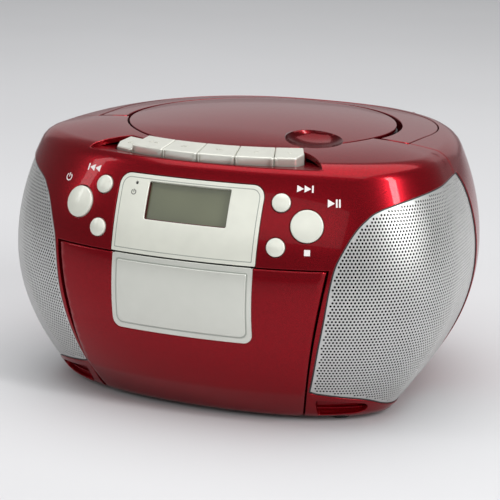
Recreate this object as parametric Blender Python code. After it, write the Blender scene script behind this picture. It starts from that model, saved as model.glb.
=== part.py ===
"""CD radio cassette player: an assembly of named sub-parts, in metres, +Z up.

The front faces -Y and the machine stands on Z = 0.  All driving dimensions are
in millimetres at the top; every mesh is made in world position and then gets
its origin on its own joint axis or centre.
"""
import math

import bmesh
import bpy
import numpy as np
from mathutils import Matrix, Vector

# ---------------------------------------------------------------- dimensions
MM = 0.001

HALF_WIDTH = 150.0        # widest half outline, seen from above
WIDEST_Y = -45.2          # where the outline is widest
FRONT_DEPTH = 88.8        # outline in front of the widest line
REAR_DEPTH = 178.8        # outline behind it, cut off flat at REAR_Y
FRONT_POWER = 2.2
REAR_POWER = 2.3
REAR_Y = 114.0
BELLY_Z = 91.9            # height of the widest section
BELLY_TILT = 10.7         # lower at the front, higher at the rear
CURVE_SIDE = 0.0051       # undercut per square millimetre below the belly
CURVE_FRONT = 0.0048
CURVE_REAR = 0.0039
CURVE_TOP = 0.0038        # the same above the belly
BOTTOM_Z = 2.4
SHOULDER_Z = 163.4
SHOULDER_R = 7.4
BOTTOM_R = 3.4
CROWN = 5.0               # rise of the top from its edge to its middle
WALL = 3.6                # moulding thickness of the two cabinets
RECESS = 1.7              # depth of the recesses for the grilles and the bezel
CLEAR_OF = -5.0           # inset of a surface that stands well clear of the body
CORE_COLS = 36            # facets of the coarser body volumes used for cutting
CORE_ROWS = (5, 4, 3)
SPLIT_Y = -24.5           # joint between the front and the rear cabinet
MIDDLE_Y = -10.15         # middle of the depth, moved onto Y = 0 at the end

SEAM_Z = 104.2            # top of the cassette door
DOOR_AXIS_Y = -101.0      # the door tilts about this line
DOOR_AXIS_Z = 9.5

LID_R = 87.4              # CD lid
LID_Y = -1.0              # centre of the lid, the disc well and the spindle
LID_AXIS_Z = 166.0
DISH_AT = (56.2, -54.0, 171.8)   # centre of the finger dish
DISH_R = 19.0
DISH_DEPTH = 9.0
WELL_R = 63.0             # disc well

HANDLE_X = 109.5          # half width of the handle's curved part
HANDLE_Y = 14.0           # where the curved part starts
HANDLE_REACH = 90.0       # how far it goes behind that
HANDLE_POWER = 2.3
HANDLE_ARM_X = 107.0      # half width at the ends of the arms
HANDLE_IN_R = 91.0        # inner edge, round the lid
HANDLE_AXIS_Y = -16.4
HANDLE_AXIS_Z = 160.4
HANDLE_PIN_X = 99.0

KEY_ARC_Y = 42.0          # centre of the fan of keys
KEY_R_FRONT = 150.0
KEY_R_BACK = 134.0
KEY_EDGES = (-25.6, -18.4, -9.2, 0.0, 9.2, 18.4, 25.6)   # degrees
KEY_TOP = 165.0           # key top at the front edge
KEY_RISE = 3.6            # rise of the key top towards the lid
KEY_HELD_DOWN = 3.0       # the first key is latched this far down

WHEEL_R = 14.2            # side thumb wheels
WHEEL_Y = 64.0
WHEEL_Z = 104.0
WHEEL_OUT = 2.8           # how far a side wheel stands out of the wall
SWITCH_Y = 78.0
SWITCH_Z = 115.0

REEL_X = 21.25            # half the distance between the reel spindles
REEL_Z = 66.0
CAPSTAN = (22.0, 97.0)
MOTOR = (-38.0, 40.0)
TAPE_BACK = 4.4           # the whole tape deck is set back behind the cassette
TAPE_DECK = (
    "tape_chassis", "supply_reel", "takeup_reel", "capstan_flywheel", "pinch_roller",
    "tape_head", "tape_motor", "motor_pulley", "drive_belt",
)
PIVOT = (62.3, 111.2, 143.7)   # antenna pivot
ANTENNA_ROOT_X = 58.4     # where the tube leaves its pivot

# right-hand grille outline: distance along the 45 degree plane, height
GRILLE = [
    (-23.0, 24.0), (-24.6, 45.0), (-24.4, 62.0), (-22.0, 87.0), (-18.3, 104.0),
    (-12.7, 114.0), (-4.0, 125.5), (4.0, 133.0), (14.0, 138.5), (40.0, 144.5),
    (66.0, 148.0), (84.0, 149.4), (92.0, 141.0), (98.0, 128.0), (103.5, 110.0),
    (105.0, 92.0), (102.0, 69.0), (95.0, 45.0), (88.0, 29.0), (79.0, 15.5),
    (62.0, 9.0), (40.0, 7.2), (20.0, 7.4), (4.0, 11.0), (-10.0, 16.6),
]

# half width of the cassette door at each height
DOOR_SIDE = [
    (3.2, 68.4), (14.0, 71.4), (24.0, 73.9), (42.0, 78.6), (62.0, 83.4),
    (87.0, 87.2), (103.7, 89.6),
]


# ------------------------------------------------------------------ materials
def material(name, color, roughness, metallic=0.0, alpha=1.0):
    """A Principled material with one colour, roughness and metallic value."""
    mat = bpy.data.materials.new(name)
    mat.use_nodes = True
    shader = mat.node_tree.nodes["Principled BSDF"]
    shader.inputs["Base Color"].default_value = (*color, 1.0)
    shader.inputs["Roughness"].default_value = roughness
    shader.inputs["Metallic"].default_value = metallic
    shader.inputs["Alpha"].default_value = alpha
    mat.diffuse_color = (*color, alpha)
    return mat


# -------------------------------------------------------------- mesh helpers
def new_object(name, verts, faces):
    """Make an object from millimetre vertices, with outward normals."""
    mesh = bpy.data.meshes.new(name)
    points = [tuple(float(c) * MM for c in v) for v in verts]
    mesh.from_pydata(points, [], [tuple(int(i) for i in f) for f in faces])
    mesh.update()
    bm = bmesh.new()
    bm.from_mesh(mesh)
    bmesh.ops.remove_doubles(bm, verts=bm.verts, dist=1e-7)
    bmesh.ops.recalc_face_normals(bm, faces=bm.faces)
    bm.to_mesh(mesh)
    bm.free()
    obj = bpy.data.objects.new(name, mesh)
    bpy.context.scene.collection.objects.link(obj)
    return obj


def combine(obj, cutter, operation="DIFFERENCE"):
    """Boolean the cutter into the object, bake the result, drop the cutter."""
    mod = obj.modifiers.new("cut", "BOOLEAN")
    mod.operation = operation
    mod.solver = "EXACT"
    mod.object = cutter
    bpy.context.view_layer.update()
    graph = bpy.context.evaluated_depsgraph_get()
    baked = bpy.data.meshes.new_from_object(obj.evaluated_get(graph))
    obj.modifiers.clear()
    old = obj.data
    obj.data = baked
    baked.name = old.name
    bpy.data.meshes.remove(old)
    bm = bmesh.new()
    bm.from_mesh(baked)
    bmesh.ops.remove_doubles(bm, verts=bm.verts, dist=2e-6)
    bmesh.ops.dissolve_degenerate(bm, edges=bm.edges, dist=2e-6)
    bm.to_mesh(baked)
    bm.free()
    bpy.data.objects.remove(cutter)
    return obj


def finish(obj, mat, origin=None, sharp=35.0):
    """Material, smooth shading with sharp edges, and the origin in millimetres."""
    obj.data.materials.clear()
    obj.data.materials.append(mat)
    obj.data.shade_smooth()
    obj.data.set_sharp_from_angle(angle=math.radians(sharp))
    if origin is not None:
        shift = Vector(origin) * MM
        obj.data.transform(Matrix.Translation(-shift))
        obj.location = shift
    return obj


def box(name, x, y, z):
    """An axis-aligned box from its three (low, high) ranges."""
    verts = [(a, b, c) for a in x for b in y for c in z]
    faces = [(0, 1, 3, 2), (4, 6, 7, 5), (0, 4, 5, 1), (2, 3, 7, 6), (0, 2, 6, 4), (1, 5, 7, 3)]
    return new_object(name, verts, faces)


def prism(name, outline, origin, u, v, low, high):
    """Extrude a 2-D outline, given in the u, v axes, along u x v."""
    u = np.array(u, float)
    v = np.array(v, float)
    w = np.cross(u, v)
    base = np.array(origin, float)
    count = len(outline)
    verts = []
    for level in (low, high):
        for a, b in outline:
            verts.append(base + u * a + v * b + w * level)
    faces = [tuple(range(count)), tuple(range(2 * count - 1, count - 1, -1))]
    for i in range(count):
        j = (i + 1) % count
        faces.append((i, j, count + j, count + i))
    return new_object(name, verts, faces)


def prism_z(name, outline, low, high):
    """Extrude an x, y outline from z = low to z = high."""
    return prism(name, outline, (0, 0, 0), (1, 0, 0), (0, 1, 0), low, high)


def prism_y(name, outline, low, high):
    """Extrude an x, z outline from y = low to y = high."""
    return prism(name, outline, (0, 0, 0), (1, 0, 0), (0, 0, 1), -high, -low)


def lathe(name, profile, origin, axis=(0, 0, 1), steps=32):
    """Turn a closed (radius, height) profile round an axis through origin."""
    axis = Vector(axis).normalized()
    side = axis.orthogonal().normalized()
    up = axis.cross(side)
    verts = []
    faces = []
    rings = []
    for radius, height in profile:
        if radius < 1e-6:
            rings.append([len(verts)])
            verts.append(Vector(origin) + axis * height)
            continue
        ring = []
        for k in range(steps):
            t = 2 * math.pi * k / steps
            ring.append(len(verts))
            spoke = side * math.cos(t) + up * math.sin(t)
            verts.append(Vector(origin) + axis * height + spoke * radius)
        rings.append(ring)
    for i in range(len(rings)):
        a = rings[i]
        b = rings[(i + 1) % len(rings)]
        if len(a) == 1 and len(b) == 1:
            continue
        for k in range(steps):
            m = (k + 1) % steps
            if len(a) == 1:
                faces.append((a[0], b[m], b[k]))
            elif len(b) == 1:
                faces.append((a[k], a[m], b[0]))
            else:
                faces.append((a[k], a[m], b[m], b[k]))
    return new_object(name, verts, faces)


def cylinder(name, radius, low, high, origin, axis=(0, 0, 1), steps=32):
    """Cylinder from low to high along an axis through origin."""
    profile = [(0, low), (radius, low), (radius, high), (0, high)]
    return lathe(name, profile, origin, axis, steps)


def grow(outline, distance):
    """Offset a counter-clockwise outline outwards by a distance."""
    pts = [Vector(p) for p in outline]
    out = []
    for i, p in enumerate(pts):
        a = (p - pts[i - 1]).normalized()
        b = (pts[(i + 1) % len(pts)] - p).normalized()
        na = Vector((a.y, -a.x))
        nb = Vector((b.y, -b.x))
        n = (na + nb).normalized()
        out.append(tuple(p + n * (distance / max(0.4, n.dot(na)))))
    return out


def rounded_box(x0, x1, y0, y1, radii, steps=5):
    """Counter-clockwise rectangle; radii in order (x0,y0) (x1,y0) (x1,y1) (x0,y1)."""
    corners = [((x0, y0), 180), ((x1, y0), 270), ((x1, y1), 0), ((x0, y1), 90)]
    out = []
    for ((cx, cy), start), r in zip(corners, radii):
        if r <= 0:
            out.append((cx, cy))
            continue
        mx = cx + (r if cx == x0 else -r)
        my = cy + (r if cy == y0 else -r)
        for k in range(steps + 1):
            t = math.radians(start + 90 * k / steps)
            out.append((mx + r * math.cos(t), my + r * math.sin(t)))
    return out


# -------------------------------------------------------------- body surface
def body_outline(cols):
    """Widest outline from above, with outward normals, from the front centre."""
    t = np.linspace(0, 2 * math.pi, cols, endpoint=False)
    s = np.sin(t)
    c = np.cos(t)
    power = np.where(c > 0, FRONT_POWER, REAR_POWER)
    depth = np.where(c > 0, FRONT_DEPTH, REAR_DEPTH)
    x = HALF_WIDTH * np.sign(s) * np.abs(s) ** (2 / power)
    y = -depth * np.sign(c) * np.abs(c) ** (2 / power)
    gx = np.sign(x) * np.abs(x / HALF_WIDTH) ** (power - 1) / HALF_WIDTH
    gy = np.sign(y) * np.abs(y / depth) ** (power - 1) / depth
    size = np.hypot(gx, gy)
    return x, y + WIDEST_Y, gx / size, gy / size


def ring_at(z, inset, cols):
    """Body section at height z, moved inwards by inset."""
    x, y, nx, ny = body_outline(cols)
    belly = BELLY_Z + BELLY_TILT * ny
    front = np.maximum(0, -ny) ** 2
    rear = np.maximum(0, ny) ** 2
    below = CURVE_SIDE + (CURVE_FRONT - CURVE_SIDE) * front + (CURVE_REAR - CURVE_SIDE) * rear
    curve = np.where(z < belly, below, CURVE_TOP)
    pull = curve * (z - belly) ** 2 + inset
    top = z - (SHOULDER_Z - SHOULDER_R)
    if top > 0:
        pull = pull + SHOULDER_R - math.sqrt(max(0.0, SHOULDER_R ** 2 - top ** 2))
    low = BOTTOM_Z + BOTTOM_R - z
    if low > 0:
        pull = pull + BOTTOM_R - math.sqrt(max(0.0, BOTTOM_R ** 2 - low ** 2))
    px = x - nx * pull
    return px, y - ny * pull


def body_solid(name, inset=0.0, cols=60, rows=(7, 6, 4)):
    """Closed body volume whose skin lies inset millimetres inside the outside.

    The bottom and the top move inwards too, by a share that fades to nothing
    at the widest section, so that shells keep their thickness there.
    """
    lower = np.linspace(BOTTOM_Z + BOTTOM_R, BELLY_Z, rows[0])
    upper = np.linspace(BELLY_Z, SHOULDER_Z - SHOULDER_R, rows[1])[1:]
    corner = np.linspace(0, math.pi / 2, rows[2])[1:]
    levels = [BOTTOM_Z, BOTTOM_Z + BOTTOM_R * (1 - math.cos(0.6))]
    levels += list(lower) + list(upper)
    levels += [SHOULDER_Z - SHOULDER_R + SHOULDER_R * math.sin(a) for a in corner]
    verts = []
    for z in levels:
        px, py = ring_at(z, inset, cols)
        lift = inset * (1 if z < BELLY_Z else -1)
        share = min(1.0, abs(z - BELLY_Z) / 70.0) ** 3
        for a, b in zip(px, py):
            verts.append((a, b, z + lift * share))
    top_z = SHOULDER_Z - inset
    px, py = ring_at(SHOULDER_Z, inset, cols)
    mid_y = (py.max() + py.min()) / 2
    for rho in (0.93, 0.84, 0.7, 0.45):
        z = top_z + CROWN * (1 - rho ** 5)
        for a, b in zip(px, py):
            verts.append((a * rho, mid_y + (b - mid_y) * rho, z))
    count = len(verts) // cols
    faces = []
    for r in range(count - 1):
        for k in range(cols):
            m = (k + 1) % cols
            faces.append((r * cols + k, r * cols + m, (r + 1) * cols + m, (r + 1) * cols + k))
    faces.append(tuple(range(cols - 1, -1, -1)))
    last = (count - 1) * cols
    centre = len(verts)
    verts.append((0.0, mid_y, top_z + CROWN))
    for k in range(cols):
        faces.append((last + k, last + (k + 1) % cols, centre))
    obj = new_object(name, verts, faces)
    return combine(obj, box("flat", (-200, 200), (REAR_Y - inset, 300), (-50, 250)))


def core_solid(inset):
    """Coarser body volume, used as a cutter or a limit inside the walls."""
    return body_solid("core", inset, CORE_COLS, CORE_ROWS)


def front_y(x, z):
    """The y of the front surface at x, z."""
    px, py = ring_at(z, 0.0, 720)
    keep = py < WIDEST_Y + 0.5
    order = np.argsort(px[keep])
    return float(np.interp(x, px[keep][order], py[keep][order]))


def front_frame(x, z):
    """Point and outward normal of the front surface at x, z."""
    y = front_y(x, z)
    dx = (front_y(x + 1, z) - front_y(x - 1, z)) / 2
    dz = (front_y(x, z + 1) - front_y(x, z - 1)) / 2
    return Vector((x, y, z)), Vector((dx, -1.0, dz)).normalized()


def side_point(side, y, z):
    """Point and outward normal of the side surface behind the belly line."""
    px, py = ring_at(z, 0.0, 720)
    keep = np.where((px > 0) & (py > WIDEST_Y))[0]
    order = keep[np.argsort(py[keep])]
    x = float(np.interp(y, py[order], px[order]))
    ahead = float(np.interp(y + 1, py[order], px[order]))
    normal = Vector((1.0, x - ahead, 0.0)).normalized()
    return Vector((side * x, y, z)), Vector((side * normal.x, normal.y, 0.0))


def wheel_centre(side):
    """Axis point of a side wheel that stands a little out of the wall."""
    point, normal = side_point(side, WHEEL_Y, WHEEL_Z)
    return point - normal * (WHEEL_R - WHEEL_OUT)


def switch_block(name, length, height, out, depth):
    """Block on the left side wall: half length, half height, out of and into the wall."""
    point, normal = side_point(-1, SWITCH_Y, SWITCH_Z)
    along = Vector((normal.y, -normal.x, 0.0))
    shape = rounded_box(-length, length, -height, height, (0, 0, 0, 0))
    return prism(name, shape, point, along, (0, 0, 1), -out, depth)


def skin_patch(name, shape, outer, inner, cols=60):
    """The part of the body skin inside a prism, between two insets."""
    patch = body_solid(name, outer, cols)
    combine(patch, shape, "INTERSECT")
    combine(patch, body_solid(name + "_core", inner, cols))
    return patch


def grille_prism(name, side, distance=0.0):
    """Prism through one grille outline; side is 1 for the right, -1 for the left."""
    pts = [(u * side, z) for u, z in grow(GRILLE[::-1], distance)]
    r = math.sqrt(0.5)
    return prism(name, pts, (0, 0, 0), (r, r * side, 0), (0, 0, 1), 30.0, 190.0)


def door_outline(distance=0.0):
    """Counter-clockwise x, z outline of the cassette door."""
    right = [(w + distance, z) for z, w in DOOR_SIDE]
    right[0] = (right[0][0], right[0][1] - distance)
    right[-1] = (right[-1][0], right[-1][1] + distance)
    left = [(-a, b) for a, b in right[::-1]]
    return right + left


def arc_band(r_in, r_out, a0, a1, steps):
    """Band of the key fan between two radii and two angles from -Y."""
    pts = []
    for k in range(steps + 1):
        t = math.radians(a0 + (a1 - a0) * k / steps)
        pts.append((r_out * math.sin(t), KEY_ARC_Y - r_out * math.cos(t)))
    for k in range(steps, -1, -1):
        t = math.radians(a0 + (a1 - a0) * k / steps)
        pts.append((r_in * math.sin(t), KEY_ARC_Y - r_in * math.cos(t)))
    return pts


def handle_outline(distance=0.0, front=-23.0, bore=HANDLE_IN_R):
    """Counter-clockwise plan of the folded U-shaped handle."""
    pts = []
    for k in range(19):
        t = math.pi * k / 18
        c = math.cos(t)
        x = (HANDLE_X + distance) * math.copysign(abs(c) ** (2 / HANDLE_POWER), c)
        y = HANDLE_Y + (HANDLE_REACH + distance) * abs(math.sin(t)) ** (2 / HANDLE_POWER)
        pts.append((x, y))
    right = [(HANDLE_ARM_X + distance, front)]
    left = [(-HANDLE_ARM_X - distance, front)]
    inner = []
    drop = front - LID_Y
    start = math.asin(drop / bore)
    for k in range(21):
        t = math.pi - start - (math.pi - 2 * start) * k / 20
        inner.append((bore * math.cos(t), LID_Y + bore * math.sin(t)))
    return right + pts + left + inner


def dish(name, margin=0.0):
    """Ellipsoid of the finger dish across the edge of the lid, grown by a margin."""
    verts = []
    faces = []
    rows = 8
    cols = 20
    for r in range(rows + 1):
        lat = -math.pi / 2 + math.pi * r / rows
        for k in range(cols):
            lon = 2 * math.pi * k / cols
            reach = (DISH_R + margin) * math.cos(lat)
            height = (DISH_DEPTH + margin) * math.sin(lat)
            verts.append(Vector(DISH_AT) + Vector((reach * math.cos(lon), reach * math.sin(lon), height)))
    for r in range(rows):
        for k in range(cols):
            m = (k + 1) % cols
            faces.append((r * cols + k, r * cols + m, (r + 1) * cols + m, (r + 1) * cols + k))
    return new_object(name, verts, faces)


BUTTONS = {
    "power_button": (-75.0, 129.3, 9.8),
    "play_pause_button": (75.0, 129.3, 9.8),
    "skip_back_button": (-58.2, 141.7, 5.6),
    "skip_forward_button": (58.2, 141.7, 5.6),
    "repeat_button": (-58.6, 116.6, 5.6),
    "memory_button": (58.6, 116.6, 5.6),
}
KEYS = ("pause_key", "stop_eject_key", "fast_forward_key", "rewind_key", "play_key", "record_key")


# ---------------------------------------------------------------- cabinets
def front_cabinet(mat):
    """Moulded front half: panel, grille openings, door opening and key deck."""
    obj = body_solid("front_cabinet")
    combine(obj, box("cutter", (-200, 200), (SPLIT_Y - 0.15, 200), (-20, 220)))
    combine(obj, core_solid(WALL))
    for side in (-1, 1):
        combine(obj, skin_patch("cutter", grille_prism("through", side), CLEAR_OF, RECESS))
        combine(obj, grille_prism("cutter", side, -3.0))
    opening = [(x, z if z > 5 else -4.0) for x, z in door_outline(0.5)]
    combine(obj, prism_y("cutter", opening, -160, -90.0))
    frame = rounded_box(-47.9, 47.9, 103.0, 151.0, (0, 0, 7.6, 7.6))
    combine(obj, skin_patch("cutter", prism_y("through", frame, -160, -80), CLEAR_OF, RECESS))
    hollow = rounded_box(-44.5, 44.5, 108.5, 147.5, (2, 2, 5, 5))
    combine(obj, prism_y("cutter", hollow, -160, -85))
    for x, z, radius in BUTTONS.values():
        point, normal = front_frame(x, z)
        combine(obj, cylinder("cutter", radius + 0.4, -12, 12, point, normal, 28))
    pad = dish("cutter", 2.4)
    combine(pad, core_solid(1.0), "INTERSECT")
    combine(obj, pad, "UNION")
    combine(obj, prism_z("cutter", arc_band(KEY_R_BACK - 0.6, 176.0, -28.4, 28.4, 14), 160.2, 190))
    well = arc_band(KEY_R_BACK - 0.6, KEY_R_FRONT + 0.6, -26.2, 26.2, 14)
    combine(obj, prism_z("cutter", well, 140, 190))
    combine(obj, cylinder("cutter", LID_R + 1.2, 140, 190, (0, LID_Y, 0), steps=60))
    combine(obj, dish("cutter"))
    for side in (-1, 1):
        x = side * 77.0
        block = box("cutter", (x - 4.0, x + 4.0), (-106.0, -93.0), (4.0, 16.0))
        combine(obj, block, "UNION")
        hole = cylinder("cutter", 2.4, -6.0, 6.0, (x, DOOR_AXIS_Y, DOOR_AXIS_Z), (1, 0, 0), 20)
        combine(obj, hole)
    return finish(obj, mat)


def rear_cabinet(mat):
    """Moulded rear half: handle pocket, battery bay, vents and inlet hole."""
    obj = body_solid("rear_cabinet")
    combine(obj, box("cutter", (-200, 200), (-200, SPLIT_Y + 0.15), (-20, 220)))
    combine(obj, core_solid(WALL))
    tray = prism_z("cutter", handle_outline(3.4, SPLIT_Y + 0.4, 86.0), 151.0, 175.0)
    combine(tray, core_solid(1.6), "INTERSECT")
    combine(obj, tray, "UNION")
    combine(obj, prism_z("cutter", handle_outline(0.7, -60.0, 85.0), 153.4, 190))
    combine(obj, cylinder("cutter", LID_R + 1.2, 140, 190, (0, LID_Y, 0), steps=60))
    for side in (-1, 1):
        combine(obj, skin_patch("cutter", grille_prism("through", side), CLEAR_OF, RECESS))
        combine(obj, grille_prism("cutter", side, -3.0))
        axis = (side * 110.0, HANDLE_AXIS_Y, HANDLE_AXIS_Z)
        combine(obj, cylinder("cutter", 2.7, -8.0, 3.4, axis, (side, 0, 0), 20))
    battery_bay = ((-58, 58), (84.0, 125.0), (46.6, 101.4))
    antenna_step = ((-100, 69), (105.4, 125.0), (137.6, 175.0))
    for ranges in (battery_bay, antenna_step):
        block = box("cutter", *ranges)
        combine(block, core_solid(1.4), "INTERSECT")
        combine(obj, block, "UNION")
    combine(obj, box("cutter", (-54.4, 54.4), (86.5, 140), (49.6, 98.4)))
    combine(obj, box("cutter", (35.7, 60.3), (100, 140), (107.7, 128.3)))
    combine(obj, box("cutter", (-120.0, 66.8), (108.4, 140), (140.0, 180.0)))
    for k in range(6):
        x = -64.0 + 9.0 * k
        combine(obj, box("cutter", (x, x + 3.0), (100, 140), (108.0, 130.0)))
    for side in (-1, 1):
        centre = wheel_centre(side)
        combine(obj, cylinder("cutter", WHEEL_R + 0.6, -4.0, 4.0, centre, steps=28))
    combine(obj, switch_block("cutter", 8.6, 3.0, 10.0, 8.0))
    return finish(obj, mat)


def grille(name, side, mat):
    """Curved speaker grille, a skin patch set in its recess."""
    obj = skin_patch(name, grille_prism("through", side, -0.9), 0.1, 1.3)
    return finish(obj, mat)


def display_bezel(mat):
    """Pearl display surround with the window for the display."""
    shape = rounded_box(-47.5, 47.5, SEAM_Z + 0.3, 150.6, (0, 0, 7.4, 7.4))
    obj = skin_patch("display_bezel", prism_y("through", shape, -160, -80), -0.4, 1.3)
    window = rounded_box(-27.0, 27.0, 125.4, 147.0, (1, 1, 1, 1), 2)
    combine(obj, prism_y("cutter", window, -160, -80))
    point, normal = front_frame(-35.5, 145.2)
    combine(obj, cylinder("cutter", 1.0, -8, 8, point, normal, 12))
    return finish(obj, mat)


def lcd_module(mat):
    """Display module behind the bezel, leaning back with the panel."""
    point, normal = front_frame(0.0, 136.2)
    up = Vector((0, 0, 1))
    v = (up - normal * up.dot(normal)).normalized()
    u = v.cross(normal)
    base = point - normal * 7.6
    shape = rounded_box(-31.0, 31.0, -12.6, 12.6, (1, 1, 1, 1), 2)
    obj = prism("lcd_module", shape, base, u, v, 0.0, 4.0)
    return finish(obj, mat)


def cassette_door(mat):
    """Full-height door that tilts forward on two pins at its lower corners."""
    obj = skin_patch("cassette_door", prism_y("through", door_outline(), -160, -97.0), 0.0, 3.0)
    frame = rounded_box(-47.0, 47.0, 55.6, 120.0, (6.4, 6.4, 0, 0))
    combine(obj, skin_patch("cutter", prism_y("through", frame, -160, -80), CLEAR_OF, 1.3))
    for side in (-1, 1):
        x = side * 66.6
        ear = box("cutter", (x - 1.4, x + 1.4), (-108.0, -98.2), (5.6, 13.4))
        combine(ear, core_solid(1.0), "INTERSECT")
        combine(obj, ear, "UNION")
        pin = cylinder("cutter", 2.0, -0.6, 10.6, (x, DOOR_AXIS_Y, DOOR_AXIS_Z), (side, 0, 0), 16)
        combine(obj, pin, "UNION")
    return finish(obj, mat, (0, DOOR_AXIS_Y, DOOR_AXIS_Z))


def door_window(mat):
    """Silver window plate let into the door."""
    shape = rounded_box(-46.6, 46.6, 56.0, 103.7, (6.0, 6.0, 0, 0))
    obj = skin_patch("door_window", prism_y("through", shape, -160, -80), -0.4, 1.0)
    return finish(obj, mat)


def cassette_holder(mat):
    """Open basket behind the door: two side guides and a floor."""
    back = -98.0 + TAPE_BACK
    obj = box("cassette_holder", (-54.0, 54.0), (-123.0, back), (33.0, 35.0))
    for side in (-1, 1):
        lo, hi = sorted((side * 54.0, side * 51.4))
        guide = box("cutter", (lo, hi), (-123.0, back), (34.0, 92.0))
        combine(obj, guide, "UNION")
        lo, hi = sorted((side * 54.0, side * 45.4))
        lip = box("cutter", (lo, hi), (back - 1.6, back), (34.0, 92.0))
        combine(obj, lip, "UNION")
    combine(obj, core_solid(3.3), "INTERSECT")
    return finish(obj, mat)


def button(name, mat):
    """Round push button square to the panel, slightly domed."""
    x, z, radius = BUTTONS[name]
    point, normal = front_frame(x, z)
    profile = [(0, -6.0), (radius, -6.0), (radius, 0.8), (radius - 0.6, 1.4), (0, 2.0)]
    obj = lathe(name, profile, point, normal, 24)
    return finish(obj, mat, point)


def piano_key(index, mat):
    """One key of the fan; its top rises towards the lid."""
    a0 = math.radians(KEY_EDGES[index]) + 0.15 / KEY_R_BACK
    a1 = math.radians(KEY_EDGES[index + 1]) - 0.15 / KEY_R_BACK
    mid = (a0 + a1) / 2
    drop = KEY_HELD_DOWN if index == 0 else 0.0
    corners = []
    for k in range(4):
        t = a0 + (a1 - a0) * k / 3
        corners.append((KEY_R_FRONT, t))
    for k in range(4):
        t = a1 + (a0 - a1) * k / 3
        corners.append((KEY_R_BACK, t))
    chamfer = math.radians(2.2)
    if index == 0:
        corners[0:1] = [(KEY_R_FRONT - 7.0, a0), (KEY_R_FRONT, a0 + chamfer)]
    if index == 5:
        corners[3:4] = [(KEY_R_FRONT, a1 - chamfer), (KEY_R_FRONT - 7.0, a1)]
    count = len(corners)
    verts = []
    for level in range(4):
        for r, t in corners:
            share = (KEY_R_FRONT - r) / (KEY_R_FRONT - KEY_R_BACK)
            top = KEY_TOP + KEY_RISE * share - drop
            lift = (148.0 - drop, top - 1.4, top - 0.35, top)[level]
            pull = (0.0, 0.0, 0.35, 1.3)[level]
            radius = r - pull if r > KEY_R_BACK else r + pull * 0.3
            turn = mid + (t - mid) * (1 - pull * 0.02)
            verts.append((radius * math.sin(turn), KEY_ARC_Y - radius * math.cos(turn), lift))
    faces = [tuple(range(count - 1, -1, -1)), tuple(range(3 * count, 4 * count))]
    for level in range(3):
        for k in range(count):
            m = (k + 1) % count
            a = level * count
            faces.append((a + k, a + m, a + count + m, a + count + k))
    obj = new_object(KEYS[index], verts, faces)
    radius = (KEY_R_FRONT + KEY_R_BACK) / 2
    origin = (radius * math.sin(mid), KEY_ARC_Y - radius * math.cos(mid), 157.0)
    return finish(obj, mat, origin, 25.0)


# ------------------------------------------------------------------ CD deck
def cd_lid(mat):
    """Round lid with a clamp boss below, hinged at the rear."""
    r = LID_R
    profile = [
        (0, 162.4), (14.0, 162.4), (14.0, 170.6), (r * 0.6, 169.0), (r - 5.0, 165.6),
        (r - 5.0, 164.4), (r, 164.4), (r, 166.9), (r - 0.8, 167.6),
    ]
    profile += [(r * k, 167.8 + 6.0 * (1 - k * k)) for k in (0.85, 0.6, 0.3, 0.0)]
    obj = lathe("cd_lid", profile, (0, LID_Y, 0), steps=56)
    pad = dish("cutter", 2.0)
    combine(pad, cylinder("limit", r - 0.1, 150.0, 168.4, (0, LID_Y, 0), steps=56), "INTERSECT")
    combine(obj, pad, "UNION")
    combine(obj, dish("cutter"))
    return finish(obj, mat, (0, LID_Y + LID_R, LID_AXIS_Z))


def cd_deck(mat):
    """Disc well with a spindle hole and a laser slot."""
    r = LID_R + 0.6
    profile = [
        (8.5, 149.6), (8.5, 151.6), (WELL_R, 151.6), (WELL_R + 1.5, 161.8), (r - 1.5, 163.0),
        (r, 163.0), (r, 150.2), (r + 2.2, 150.2), (r + 2.2, 148.4), (WELL_R + 3.6, 148.4),
        (WELL_R + 2.6, 149.6),
    ]
    obj = lathe("cd_deck", profile, (0, LID_Y, 0), steps=44)
    combine(obj, box("cutter", (14.0, 60.0), (LID_Y - 8.0, LID_Y + 8.0), (140, 160)))
    combine(obj, dish("cutter", 3.4))
    return finish(obj, mat)


def spindle_hub(mat):
    """Hub on its shaft, with a flange for the disc."""
    profile = [
        (0, 147.4), (1.5, 147.4), (1.5, 153.6), (13.5, 153.6), (13.5, 155.0), (7.5, 155.4),
        (7.2, 157.4), (4.0, 159.4), (0, 159.8),
    ]
    obj = lathe("cd_spindle_hub", profile, (0, LID_Y, 0), steps=28)
    return finish(obj, mat, (0, LID_Y, 150.0))


def spindle_motor(mat):
    """Disc motor below the hub."""
    profile = [
        (0, 130.0), (11.0, 130.0), (12.0, 131.0), (12.0, 143.0), (5.0, 143.0), (5.0, 147.0),
        (0, 147.0),
    ]
    obj = lathe("spindle_motor", profile, (0, LID_Y, 0), steps=28)
    return finish(obj, mat)


def laser_sled(mat):
    """Laser pickup with its round lens, in the deck's slot."""
    obj = box("laser_sled", (16.0, 44.0), (LID_Y - 7.0, LID_Y + 7.0), (141.0, 148.0))
    combine(obj, cylinder("cutter", 4.0, 147.0, 150.6, (26.0, LID_Y, 0), steps=20), "UNION")
    return finish(obj, mat, (26.0, LID_Y, 144.5))


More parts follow.
